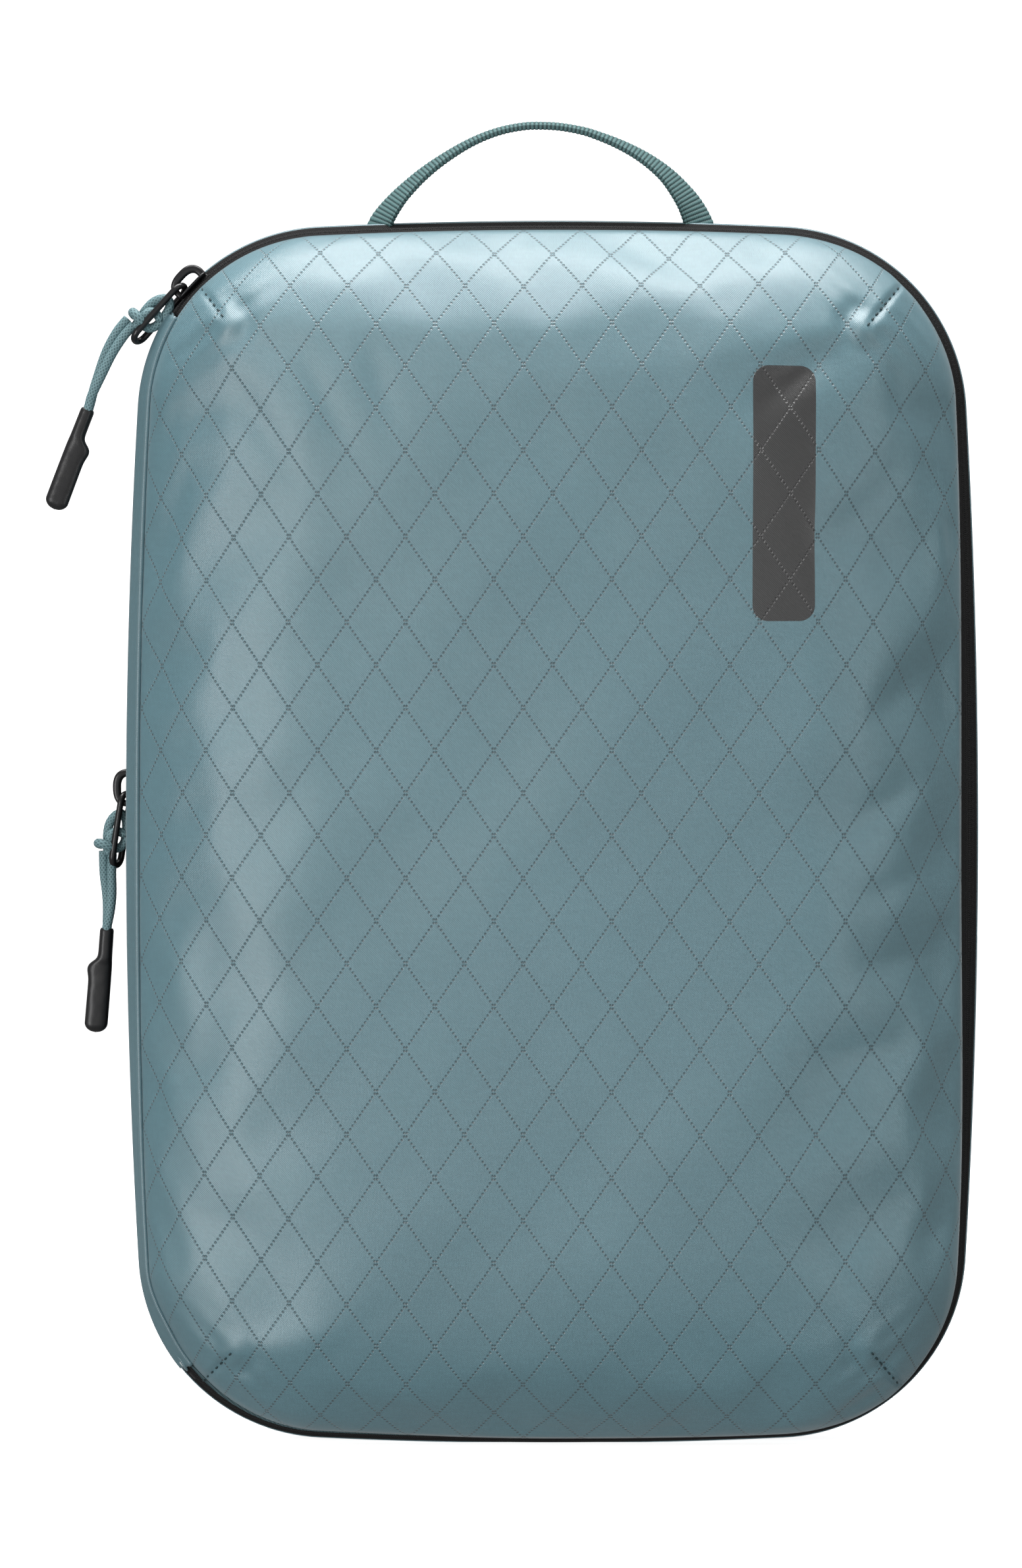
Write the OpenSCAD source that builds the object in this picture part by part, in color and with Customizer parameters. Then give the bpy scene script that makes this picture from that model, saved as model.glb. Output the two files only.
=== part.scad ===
// Soft-sided packing cube for a suitcase, standing on its lower edge.
// A domed front lid opens on a perimeter zipper and hinges on a fabric spine at the left.
// A second perimeter zipper behind it folds away a pleated gusset, so the cube can expand.
// The origin is the middle of the flat strip it stands on; the lid faces -Y and +Z is up.

/* [Body] */
// Width over the side bands
body_w = 251; // [246:1:256]
// Height over the end bands
body_h = 360; // [352:1:368]
// Radius of the four corners
corner_r = 56; // [54:1:58]
// How far each long side bows outwards
side_bow = 3.5; // [3:0.1:4]
// How far each short end bows outwards
end_bow = 1.6; // [1.2:0.1:2]
// Height shaved off the lower edge where the cube stands
base_flat = 0.3; // [0.2:0.05:0.5]

/* [Depth] */
// Width of the strip that each zipper fills
zip_strip = 12; // [12:0.5:12]
// Width of each fabric side band
band_depth = 6; // [6:0.5:6]
// Rise of the lid from its seam to its crown
lid_rise = 26; // [22:1:28]
// Rise of the back panel from its seam to its flat middle
back_rise = 16; // [12:1:18]
// Depth of the folded gusset pleat
pleat_depth = 20; // [16:1:20]

/* [Fabric] */
// Thickness of the padded panels and bands
panel_t = 1; // [0.8:0.1:1]
// Thickness of the zipper tape
tape_t = 0.6; // [0.4:0.1:0.6]
// Inset of the lid seam at the left and right
lid_inset_x = 4.75; // [4.25:0.25:5]
// Inset of the lid seam at the top and bottom
lid_inset_z = 2.95; // [2.7:0.25:3.2]

/* [Zippers] */
// Inset of the middle of each coil from the outside of the cube
coil_inset = 3; // [3:0.1:3]
// Thickness of the coil
coil_t = 2; // [1.8:0.1:2]
// Width of each coil half
coil_w = 1.4; // [1.2:0.1:1.4]
// Gap between the two coil halves
coil_gap = 1; // [1:0.1:1.2]
// Corner angle where the main slider parks
main_park = 136; // [134:1:138]
// Height of the parked compression slider above the middle of the cube
comp_park = 13.2; // [10:0.2:16]

/* [Sliders and pulls] */
// Length of a slider body
slider_l = 11; // [10:0.5:11]
// Width of a slider body
slider_w = 7.8; // [7.6:0.2:8]
// Outer length of a pull ring
ring_l = 23.3; // [22:0.1:24]
// Outer width of a pull ring
ring_w = 7.6; // [7.4:0.1:8]
// Thickness of a pull ring
ring_d = 1.9; // [1.7:0.1:1.9]
// Diameter of the pull cord
cord_d = 2.8; // [2.5:0.1:2.8]
// Length of a moulded grip
grip_l = 31; // [28:1:34]
// Width of a moulded grip
grip_w = 6.4; // [6:0.2:7]
// Thickness of a moulded grip, over its two cords
grip_t = 6; // [6:0.1:6.4]

/* [Handle] */
// Width of the webbing
web_w = 10; // [9:0.5:10]
// Thickness of the webbing
web_t = 1.2; // [1:0.1:1.4]
// Height of the arch above its hinge line
arch_h = 26; // [22:1:30]
// Half the span of the arch
arch_half = 45.2; // [42:0.2:48]

/* [Hidden] */

half_w = body_w / 2;
half_h = body_h / 2;
mid_z = half_h - base_flat;
corner_x = half_w - side_bow - corner_r;
corner_z = half_h - end_bow - corner_r;

// Planes that divide the depth, from the front of the cube to its back
lid_y = -zip_strip;
front_band_y = 0;
comp_front_y = front_band_y + band_depth;
comp_rear_y = comp_front_y + zip_strip;
back_y = comp_rear_y + band_depth;
main_zip_y = lid_y / 2;
comp_zip_y = (comp_front_y + comp_rear_y) / 2;
join = 0.05; // gap left between sewn pieces that meet

// Colours
lid_colour = [0.42, 0.54, 0.57];
shell_colour = [0.36, 0.48, 0.51];
lining_colour = [0.29, 0.4, 0.43];
tape_colour = [0.1, 0.1, 0.11];
coil_colour = [0.06, 0.06, 0.07];
metal_colour = [0.12, 0.12, 0.13];
paint_colour = [0.08, 0.08, 0.09];
rubber_colour = [0.09, 0.09, 0.1];
cord_colour = [0.42, 0.62, 0.63];

// Steps round the outline: half a side, a corner, an end
side_steps = 6;
corner_steps = 14;
end_steps = 12;
all_steps = 4 * side_steps + 4 * corner_steps + 2 * end_steps;
ul_corner = side_steps;
ll_corner = side_steps + 3 * corner_steps + 2 * end_steps + 2 * side_steps;
zip_start = ul_corner + 5;
zip_end = ll_corner + 8;

// The lid seam sits a little low and to the left of the outline
lid_shift = [-0.75, -0.55];

// Points along an arc, leaving out its last point
function arc(c, r, a0, a1, n) =
    [for (k = [0 : n - 1]) let (a = a0 + (a1 - a0) * k / n) c + r * [cos(a), sin(a)]];

// Outline with bowed sides and round corners, from the middle of the left side clockwise
function outline(w, h, r) =
    let (cx = w - side_bow - r,
         cz = h - end_bow - r,
         rs = ((w - cx) ^ 2 + cz ^ 2 - r ^ 2) / (2 * side_bow),
         rt = ((h - cz) ^ 2 + cx ^ 2 - r ^ 2) / (2 * end_bow),
         s = atan2(cz, cx - w + rs),
         t = atan2(cz - h + rt, cx))
    concat(arc([rs - w, 0], rs, 180, 180 - s, side_steps),
           arc([-cx, cz], r, 180 - s, 180 - t, corner_steps),
           arc([0, h - rt], rt, 180 - t, t, end_steps),
           arc([cx, cz], r, t, s, corner_steps),
           arc([w - rs, 0], rs, s, -s, 2 * side_steps),
           arc([cx, -cz], r, -s, -t, corner_steps),
           arc([0, rt - h], rt, -t, t - 180, end_steps),
           arc([-cx, -cz], r, t - 180, s - 180, corner_steps),
           arc([rs - w, 0], rs, s - 180, -180, side_steps));

// Outline set in by dx at the sides and dz at the ends, cut level where the cube stands
function inset_outline(dx, dz, shift = [0, 0]) =
    [for (p = outline(half_w - dx, half_h - dz, corner_r - (dx + dz) / 2))
        [p.x + shift.x, max(0, p.y + shift.y + mid_z)]];

// A rail is an inset outline standing at depth y
function rail(dx, dz, y, shift = [0, 0]) =
    [for (p = inset_outline(dx, dz, shift)) [p.x, y, p.y]];
function even_rail(d, y) = rail(d, d, y);

// A section is a list of [inset, depth] corners, carried round as one rail each
function rails_of(section) = [for (c = section) even_rail(c[0], c[1])];

// Solid between rails, from one step of the outline to another
module loft(rails, from, to) {
    m = len(rails);
    full = to - from >= all_steps;
    n = full ? all_steps : to - from + 1;
    points = [for (i = [0 : n - 1]) for (r = rails) r[(from + i) % all_steps]];
    walls = [for (i = [0 : full ? n - 1 : n - 2]) for (k = [0 : m - 1])
        let (a = i * m, b = ((i + 1) % n) * m, l = (k + 1) % m) [a + k, b + k, b + l, a + l]];
    ends = full ? [] : [[for (k = [0 : m - 1]) k],
                        [for (k = [0 : m - 1]) n * m - 1 - k]];
    polyhedron(points, concat(walls, ends), convexity = 10);
}

// Domed shell: outer rails from rim to crown, and inner rails the same way
module dome(outer, inner) {
    n = all_steps;
    count = len(outer);
    rings = concat(outer, [for (k = [1 : count]) inner[count - k]]);
    points = [for (r = rings) for (p = r) p];
    function ring_quads(a, b) =
        [for (i = [0 : n - 1]) let (j = (i + 1) % n) [a * n + i, a * n + j, b * n + j, b * n + i]];
    walls = [for (k = [0 : 2 * count - 1]) if (k != count - 1)
        each ring_quads(k, (k + 1) % (2 * count))];
    caps = [[for (i = [0 : n - 1]) (count - 1) * n + i],
            [for (i = [0 : n - 1]) count * n + n - 1 - i]];
    polyhedron(points, concat(walls, caps), convexity = 10);
}

// Flat-edged hoop of a given wall, between two depths
module hoop(outer_d, inner_d, y0, y1) {
    translate([0, y1, 0])
    rotate([90, 0, 0])
    linear_extrude(y1 - y0)
    difference() {
        polygon(inset_outline(outer_d, outer_d));
        polygon(inset_outline(inner_d, inner_d));
    }
}

// Half of a zipper coil, as a bar that follows the outline between two steps
module coil_half(y0, y1, from, to) {
    outer = inset_outline(coil_inset - coil_t / 2, coil_inset - coil_t / 2);
    inner = inset_outline(coil_inset + coil_t / 2, coil_inset + coil_t / 2);
    translate([0, y1, 0])
    rotate([90, 0, 0])
    linear_extrude(y1 - y0)
    polygon(concat([for (i = [from : to]) outer[i % all_steps]],
                   [for (i = [to : -1 : from]) inner[i % all_steps]]));
}

// Place something on the upper left corner's coil: X outwards, Z along the coil, downwards
module on_corner(angle, y = main_zip_y) {
    translate([-corner_x, y, mid_z + corner_z])
    rotate([0, -angle, 0])
    translate([corner_r - coil_inset, 0, 0])
    children();
}

// The same on the lower left corner
module on_lower_corner(angle, y = main_zip_y) {
    translate([-corner_x, y, mid_z - corner_z])
    rotate([0, -angle, 0])
    translate([corner_r - coil_inset, 0, 0])
    children();
}

// The same on the middle of the left side, at a height above the middle
module on_side(height, y = comp_zip_y) {
    translate([coil_inset - half_w, y, mid_z + height])
    rotate([0, 180, 0])
    children();
}

// ---- Rear shell ----

module back_panel() {
    steps = [[0, 0], [2, 5], [6, 9.5], [13, 13], [26, 15.2], [46, back_rise]];
    color(shell_colour)
    dome([for (s = steps) even_rail(s[0], back_y + s[1])],
         [for (s = steps) even_rail(s[0] + panel_t, back_y + s[1] - panel_t * (s[1] > 0 ? 1 : 0))]);
}

module rear_side_band() {
    color(shell_colour)
    hoop(0, panel_t, comp_rear_y, back_y - join);
}

// Tape section for a zipper whose coil edge is at y_coil and whose sewn edge is at y_seam
function tape_section(y_coil, y_seam) =
    let (s = sign(y_seam - y_coil), o = coil_inset - tape_t / 2, i = coil_inset + tape_t / 2,
         bend = y_seam - 2 * s)
    [[o, y_coil], [o, bend], [0.2, y_seam - s * join], [panel_t, y_seam - s * join],
     [i, bend - 0.2 * s], [i, y_coil]];
coil_edge = coil_gap / 2 + coil_w + join;

module comp_tape_rear() {
    section = tape_section(comp_zip_y + coil_edge, comp_rear_y);
    color(tape_colour)
    loft(rails_of([for (k = [5 : -1 : 0]) section[k]]), 0, all_steps);
}

module comp_coil_rear() {
    color(coil_colour)
    hoop(coil_inset - coil_t / 2, coil_inset + coil_t / 2,
         comp_zip_y + coil_gap / 2, comp_zip_y + coil_gap / 2 + coil_w);
}

// Folded metal stop that grips the coil from outside
module stop_block(length) {
    thick = 0.5;
    outer = coil_t / 2 + join;
    translate([outer, -coil_gap / 2 - coil_w, -length / 2])
    cube([thick, coil_gap + 2 * coil_w, length]);
}

stop_l = 2.5;
stop_gap = 4;
pin_gap = 9;
module comp_end_stop() {
    color(metal_colour)
    on_side(comp_park + slider_l / 2 + stop_gap, comp_zip_y + coil_gap / 2 + coil_w)
    stop_block(stop_l);
}

module comp_start_pin() {
    color(metal_colour)
    on_side(comp_park + slider_l / 2 + pin_gap, comp_zip_y + coil_gap / 2 + coil_w)
    stop_block(stop_l);
}

module expansion_gusset() {
    tip = pleat_depth + 1.6;
    valley = pleat_depth + 0.4;
    y0 = comp_front_y;
    y1 = comp_rear_y;
    section = [[1.1, y0 - 1.6], [1.7, y0 - 1.8], [4.2, y0 + 0.4], [tip, comp_zip_y],
               [4.2, y1 - 0.4], [1.7, y1 + 1.8], [1.1, y1 + 1.6], [3.6, y1 - 1],
               [valley, comp_zip_y], [3.6, y0 + 1]];
    color(lining_colour)
    loft(rails_of(section), 0, all_steps);
}

// Square binding tape on a seam's inside
function binding_section(d, y, size) =
    [[d, y], [d + size, y], [d + size, y + size], [d, y + size]];

module rear_seam_binding() {
    color(lining_colour)
    loft(rails_of(binding_section(1.3, back_y - 2.2, 1.8)), 0, all_steps);
}

// ---- Front shell ----

module front_side_band() {
    color(shell_colour)
    hoop(0, panel_t, front_band_y, comp_front_y);
}

module main_tape_body() {
    section = tape_section(main_zip_y + coil_edge, front_band_y);
    color(tape_colour)
    loft(rails_of([for (k = [5 : -1 : 0]) section[k]]), zip_start, zip_end);
}

module main_coil_body() {
    color(coil_colour)
    coil_half(main_zip_y + coil_gap / 2, main_zip_y + coil_gap / 2 + coil_w,
              zip_start, zip_end);
}

module main_top_stop() {
    color(metal_colour)
    on_corner(145, main_zip_y + coil_gap / 2 + coil_w)
    stop_block(stop_l);
}

module main_bottom_stop() {
    color(metal_colour)
    on_lower_corner(223, main_zip_y + coil_gap / 2 + coil_w)
    stop_block(stop_l);
}

module comp_tape_front() {
    color(tape_colour)
    loft(rails_of(tape_section(comp_zip_y - coil_edge, comp_front_y)), 0, all_steps);
}

module comp_coil_front() {
    color(coil_colour)
    hoop(coil_inset - coil_t / 2, coil_inset + coil_t / 2,
         comp_zip_y - coil_gap / 2 - coil_w, comp_zip_y - coil_gap / 2);
}

// Rail on the lid seam, set in a further d
function lid_rail(d, y) = rail(lid_inset_x + d, lid_inset_z + d, y, lid_shift);

module spine_panel() {
    t = 0.8;
    rails = [even_rail(0, front_band_y - join), even_rail(0, -3), even_rail(1, -8),
             lid_rail(-0.9, lid_y + join), lid_rail(-0.1, lid_y + join), even_rail(1 + t, -7.6),
             even_rail(t, -2.8), even_rail(t, front_band_y - join)];
    color(shell_colour)
    loft([for (k = [7 : -1 : 0]) rails[k]], zip_end + 1, all_steps + zip_start - 1);
}

// Rounded scrap of fabric sewn over a zipper's end
module end_tab() {
    tab_l = 5;
    tab_w = 5.6;
    tab_t = 0.4;
    forward = 3;
    translate([coil_t / 2 + join, -forward, 0])
    rotate([0, 90, 0])
    linear_extrude(tab_t)
    union() {
        translate([-tab_l / 2, 0])
        square([tab_l, tab_w]);
        translate([0, tab_w / 2])
        circle(tab_w / 2, $fn = 24);
    }
}

upper_tab_angle = 149.5;
lower_tab_angle = 217.5;
module zip_end_tab_upper() {
    color(shell_colour)
    on_corner(upper_tab_angle)
    end_tab();
}

module zip_end_tab_lower() {
    color(shell_colour)
    on_lower_corner(lower_tab_angle)
    end_tab();
}

handle_y = front_band_y + band_depth / 2;
arch_x = -3;
hinge_rise = 2.2; // height of the handle's hinge above the band
hinge_z = mid_z + half_h + hinge_rise;

module handle_anchors() {
    anchor_h = 1.4;
    drop = 2.7;
    color(cord_colour)
    for (side = [-1, 1])
    translate([arch_x + side * arch_half - web_w / 2, handle_y - web_t / 2, hinge_z - drop])
    cube([web_w, web_t, anchor_h]);
}

// ---- Lid ----

module front_panel() {
    steps = [[0, 0], [1.5, 5], [5, 11], [11, 16.5], [20, 21], [33, 24.3], [47, lid_rise]];
    color(lid_colour)
    dome([for (k = [0 : len(steps) - 1]) lid_rail(steps[k][0] + panel_t,
            lid_y - steps[k][1] + panel_t * (k > 0 ? 1 : 0))],
         [for (s = steps) lid_rail(s[0], lid_y - s[1])]);
}

module main_tape_lid() {
    o = coil_inset - tape_t / 2;
    i = coil_inset + tape_t / 2;
    y_coil = main_zip_y - coil_edge;
    color(tape_colour)
    loft([even_rail(o, y_coil), even_rail(o, lid_y + 2), lid_rail(-tape_t / 2, lid_y + join),
          lid_rail(tape_t / 2, lid_y + join), even_rail(i, lid_y + 2.2), even_rail(i, y_coil)],
         zip_start, zip_end);
}

module main_coil_lid() {
    color(coil_colour)
    coil_half(main_zip_y - coil_gap / 2 - coil_w, main_zip_y - coil_gap / 2,
              zip_start, zip_end);
}

// Roll of turned fabric that stands along the spine seam
module lid_seam_roll() {
    r = 0.6;
    color(lid_colour)
    loft([for (k = [0 : 7]) lid_rail(-0.8 + r * cos(45 * k), lid_y - 0.7 - r * sin(45 * k))],
         zip_end + 1, all_steps + zip_start - 1);
}

module front_seam_binding() {
    size = 1.6;
    color(lining_colour)
    loft([lid_rail(0.7, lid_y + 0.1), lid_rail(0.7 + size, lid_y + 0.1),
          lid_rail(0.7 + size, lid_y + 0.1 + size), lid_rail(0.7, lid_y + 0.1 + size)],
         0, all_steps);
}

// ---- Sliders, rings and pulls ----

plate_t = 0.7;
cavity_out = 1.5;
cavity_in = 1.7;
pin_out = 3.6;
pin_along = 1.9;
bridge_w = 3;

// Slider: two plates on a centre post, a flange on the body side, and a bridge over the top
module slider() {
    flange_t = 0.6;
    slot = 0.8;
    post_t = 0.5;
    post_l = 2.5;
    translate([cavity_out, -slider_w / 2, -slider_l / 2])
    cube([plate_t, slider_w, slider_l]);
    translate([-cavity_in - plate_t, -slider_w / 2, -slider_l / 2])
    cube([plate_t, slider_w, slider_l]);
    for (span = [[-cavity_in - plate_t, -slot], [slot, cavity_out + plate_t]])
    translate([span[0], slider_w / 2 - flange_t, -slider_l / 2])
    cube([span[1] - span[0], flange_t, slider_l]);
    translate([-cavity_in, -post_t / 2, -slider_l / 2])
    cube([cavity_in + cavity_out, post_t, post_l]);
    bridge();
}

module bridge() {
    plate = cavity_out + plate_t;
    translate([0, bridge_w / 2, 0])
    rotate([90, 0, 0])
    linear_extrude(bridge_w)
    difference() {
        polygon([[plate - 0.1, -5.5], [4.6, -5.5], [6.4, -4.4], [7.4, -2.4], [7.6, 0.6],
                 [7.2, 3], [6.2, 4.8], [4.6, 5.5], [plate - 0.1, 5.5]]);
        polygon([[plate, -2.4], [4.4, -2.4], [5.1, -1.6], [5.1, 2.8], [4.4, 3.6],
                 [plate, 3.6]]);
    }
}

// Oval ring of round wire, hanging from its own top along Z
module pull_ring() {
    r = (ring_w - ring_d) / 2;
    straight = ring_l - ring_w;
    for (side = [-1, 1])
    translate([0, side * r, r])
    cylinder(d = ring_d, h = straight, $fn = 32);
    translate([0, 0, r + straight])
    rotate([90, 0, 90])
    rotate_extrude(angle = 180, $fn = 64)
    translate([r, 0])
    circle(d = ring_d, $fn = 32);
    translate([0, 0, r])
    rotate([-90, 0, 90])
    rotate_extrude(angle = 180, $fn = 64)
    translate([r, 0])
    circle(d = ring_d, $fn = 32);
}

// Unit vector, and the ring of points round one place on a route
function unit(v) = v / norm(v);
function tube_ring(p, along, r, sides) =
    let (u = unit(cross(along, [0, 1, 0.01])), w = cross(along, u))
    [for (k = [0 : sides - 1]) let (a = 360 * k / sides) p + r * (cos(a) * u + sin(a) * w)];

// Round cord along hand-set route points
module tube(route, d, sides = 8) {
    n = len(route);
    rings = [for (i = [0 : n - 1])
        tube_ring(route[i], unit(route[min(i + 1, n - 1)] - route[max(i - 1, 0)]), d / 2, sides)];
    walls = [for (i = [0 : n - 2]) for (k = [0 : sides - 1]) let (l = (k + 1) % sides)
        [i * sides + k, i * sides + l, (i + 1) * sides + l, (i + 1) * sides + k]];
    ends = [[for (k = [0 : sides - 1]) sides - 1 - k],
            [for (k = [0 : sides - 1]) (n - 1) * sides + k]];
    polyhedron([for (r = rings) for (p = r) p], concat(walls, ends), convexity = 6);
}

// Knot that passes through the ring, in the ring's own frame: X outwards, Z along the ring
knot_route = [[7.4, 1.2, 15.4], [5, 1.1, 15], [2, 0.4, 14.6], [-0.8, 0, 13], [-1.4, 0, 10.4],
              [-0.4, 0, 8], [1.8, 0, 7.2], [3.6, -0.2, 9], [4.2, -0.8, 12], [4.3, -1.4, 14.2]];

// Each cord's route, above the middle of the cube, from its knot into its grip
main_cord_route = [[-123.6, -6, 150], [-126.6, -5.6, 146.6], [-130, -5, 141], [-133, -4.2, 134],
                   [-135, -3.4, 129], [-136.3, -3, 124.5], [-138, -3, 120]];
comp_cord_route = [[-131.6, 12, -5.6], [-131.6, 12, -12], [-131.2, 12, -18], [-131.3, 12, -23],
                   [-131.9, 12, -28.5], [-132.5, 12, -36.5]];
strand_gap = cord_d / 2 + 0.05;

// One of the two strands of a doubled cord, on the side given by a sign
function strand(route, side) =
    [for (p = route) p + [0, side * strand_gap, mid_z]];

module main_cord_front() {
    color(cord_colour)
    tube(strand(main_cord_route, -1), cord_d);
}

module main_cord_rear() {
    color(cord_colour)
    tube(strand(main_cord_route, 1), cord_d);
}

module comp_cord_front() {
    color(cord_colour)
    tube(strand(comp_cord_route, -1), cord_d);
}

module comp_cord_rear() {
    color(cord_colour)
    tube(strand(comp_cord_route, 1), cord_d);
}

// Moulded grip, hanging down from the middle of its neck's top; side sets the shoulder
module grip(side) {
    neck_w = 4.4;
    neck_l = 9;
    left = -neck_w / 2;
    bore_fit = 0.04;
    bore_start = 0.1;
    difference() {
        translate([0, grip_t / 2, 0])
        rotate([90, 0, 0])
        linear_extrude(grip_t)
        polygon([for (p = [[left, 0], [-left, 0], [-left - 0.2, -neck_l],
                           [grip_w + left - 0.3, -neck_l - 2.6], [grip_w + left, -neck_l - 5],
                           [grip_w + left - 0.4, 3 - grip_l], [grip_w + left - 1.6, 0.8 - grip_l],
                           [grip_w + left - 2.6, -grip_l], [left + 1.6, -grip_l],
                           [left + 0.2, 2 - grip_l], [left - 0.2, -neck_l - 4]])
            [side * p.x, p.y]]);
        for (s = [-1, 1])
        translate([0, s * strand_gap, bore_start - neck_l])
        cylinder(d = cord_d + bore_fit, h = neck_l + 1, $fn = 24);
    }
}

main_grip_tilt = 21.2;
comp_grip_tilt = 4.2;
main_grip_top = [-136.3, -3, mid_z + 124.5];
comp_grip_top = [-131.9, comp_zip_y, mid_z - 28.5];

module main_grip() {
    color(rubber_colour)
    translate(main_grip_top)
    rotate([0, main_grip_tilt, 0])
    grip(1);
}

module comp_grip() {
    color(rubber_colour)
    translate(comp_grip_top)
    rotate([0, comp_grip_tilt, 0])
    grip(-1);
}

main_ring_tilt = -2;
comp_ring_tilt = 8.7;

// Put something in a ring's frame, hung on a slider's bridge
module on_bridge(tilt) {
    translate([pin_out, 0, pin_along])
    rotate([0, tilt, 0])
    children();
}

module main_slider() {
    color(paint_colour)
    on_corner(main_park)
    slider();
}

module main_ring() {
    color(paint_colour)
    on_corner(main_park)
    on_bridge(main_ring_tilt)
    pull_ring();
}

module main_knot() {
    color(cord_colour)
    on_corner(main_park)
    on_bridge(main_ring_tilt)
    tube(knot_route, cord_d);
}

module comp_slider() {
    color(paint_colour)
    on_side(comp_park)
    slider();
}

module comp_ring() {
    color(paint_colour)
    on_side(comp_park)
    on_bridge(comp_ring_tilt)
    pull_ring();
}

module comp_knot() {
    color(cord_colour)
    on_side(comp_park)
    on_bridge(comp_ring_tilt)
    tube(knot_route, cord_d);
}

// ---- Handle ----

// Centre line of the arch, fuller on the right than on the left
function arch_point(s) =
    let (x = arch_x - arch_half * cos(180 * s), p = 1.7 - 0.35 * s)
    [x, handle_y, hinge_z + arch_h * sin(180 * s) ^ p];

// Twist of the webbing: face on at both ends, edge on at the top
function arch_twist(s) = 90 - 80 * abs(2 * s - 1) ^ 2;

module handle_webbing() {
    stations = 40;
    step = 0.002;
    function corners(s) =
        let (p = arch_point(s),
             along = unit(arch_point(min(s + step, 1)) - arch_point(max(s - step, 0))),
             flat = cross(along, [0, 1, 0]),
             t = arch_twist(s),
             wide = cos(t) * flat + sin(t) * [0, 1, 0],
             thin = cross(along, wide))
        [for (c = [[1, 1], [-1, 1], [-1, -1], [1, -1]])
            p + c[0] * wide * web_w / 2 + c[1] * thin * web_t / 2];
    points = [for (i = [0 : stations]) each corners(i / stations)];
    walls = [for (i = [0 : stations - 1]) for (k = [0 : 3]) let (l = (k + 1) % 4)
        [4 * i + k, 4 * i + l, 4 * i + 4 + l, 4 * i + 4 + k]];
    ends = [[3, 2, 1, 0], [for (k = [0 : 3]) 4 * stations + k]];
    color(cord_colour)
    polyhedron(points, concat(walls, ends), convexity = 6);
}

back_panel();
rear_side_band();
comp_tape_rear();
comp_coil_rear();
comp_end_stop();
comp_start_pin();
expansion_gusset();
rear_seam_binding();
front_side_band();
main_tape_body();
main_coil_body();
main_top_stop();
main_bottom_stop();
comp_tape_front();
comp_coil_front();
spine_panel();
zip_end_tab_upper();
zip_end_tab_lower();
handle_anchors();
front_panel();
main_tape_lid();
main_coil_lid();
lid_seam_roll();
front_seam_binding();
main_slider();
main_ring();
main_knot();
main_cord_front();
main_cord_rear();
main_grip();
comp_slider();
comp_ring();
comp_knot();
comp_cord_front();
comp_cord_rear();
comp_grip();
handle_webbing();
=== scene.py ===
# %% [markdown]
# # Finishing a packing cube around its fixed frame
# A packing cube is a soft suitcase insert. A domed lid is sewn to one zipper, and a second
# zipper behind it hides a folded gusset, so the cube can grow. The CAD model already holds
# every size and every joint. Here each piece gets the surface that a hand would feel, in the
# same frame and in metres, and nothing is fitted afterwards.

# %% Load the frame
import math

import bmesh
import bpy
import numpy as np
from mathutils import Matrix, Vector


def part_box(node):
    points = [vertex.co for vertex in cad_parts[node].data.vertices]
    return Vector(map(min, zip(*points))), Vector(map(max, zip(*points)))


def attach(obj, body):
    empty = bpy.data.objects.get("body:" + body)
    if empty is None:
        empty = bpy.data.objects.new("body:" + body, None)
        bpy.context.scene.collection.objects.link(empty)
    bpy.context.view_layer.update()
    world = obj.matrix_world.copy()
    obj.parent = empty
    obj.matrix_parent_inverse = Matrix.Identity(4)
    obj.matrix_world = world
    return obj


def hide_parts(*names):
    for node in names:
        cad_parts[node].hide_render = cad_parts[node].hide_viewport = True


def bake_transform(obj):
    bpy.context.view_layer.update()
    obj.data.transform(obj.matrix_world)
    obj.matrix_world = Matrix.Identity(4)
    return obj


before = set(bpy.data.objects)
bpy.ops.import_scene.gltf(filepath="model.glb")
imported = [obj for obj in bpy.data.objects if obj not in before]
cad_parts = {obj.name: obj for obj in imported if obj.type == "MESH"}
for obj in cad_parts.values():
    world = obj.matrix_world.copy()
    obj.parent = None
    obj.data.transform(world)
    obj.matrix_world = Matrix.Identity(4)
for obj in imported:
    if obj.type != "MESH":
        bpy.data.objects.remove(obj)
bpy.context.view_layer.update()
MM = 0.001

# %% [markdown]
# ## Driving sizes
# The planes that divide the depth are read from the CAD nodes' boxes, so the looks follow the
# frame. Only the outline's own curves are repeated here: a rectangle with round corners whose
# sides bow outwards a little, as cloth does when it is full.

# %% Planes and outline sizes
BASE_FLAT = 0.3 * MM
CORNER_R, SIDE_BOW, END_BOW = 56 * MM, 3.5 * MM, 1.6 * MM
HALF_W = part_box("rear_side_band")[1].x
TOP_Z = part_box("rear_side_band")[1].z
HALF_H = (TOP_Z + BASE_FLAT) / 2
MID_Z = TOP_Z - HALF_H
SEAM_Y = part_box("front_panel")[1].y
BAND_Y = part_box("front_side_band")[0].y
COMP_FRONT_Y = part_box("front_side_band")[1].y
COMP_REAR_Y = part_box("rear_side_band")[0].y
BACK_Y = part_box("back_panel")[0].y
MAIN_ZIP_Y = (SEAM_Y + BAND_Y) / 2
COMP_ZIP_Y = (COMP_FRONT_Y + COMP_REAR_Y) / 2
print("half width %.4f, half height %.4f, lid seam %.4f, back seam %.4f"
      % (HALF_W, HALF_H, SEAM_Y, BACK_Y))

# %% [markdown]
# ## The camera and the room
# The camera comes first, because the free cords are checked against what it sees. A long lens
# from two metres away keeps the sides nearly parallel. The room is a pale floor inside a white
# shell that only the camera sees, so that the light on the cloth comes from the lamps alone.

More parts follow.
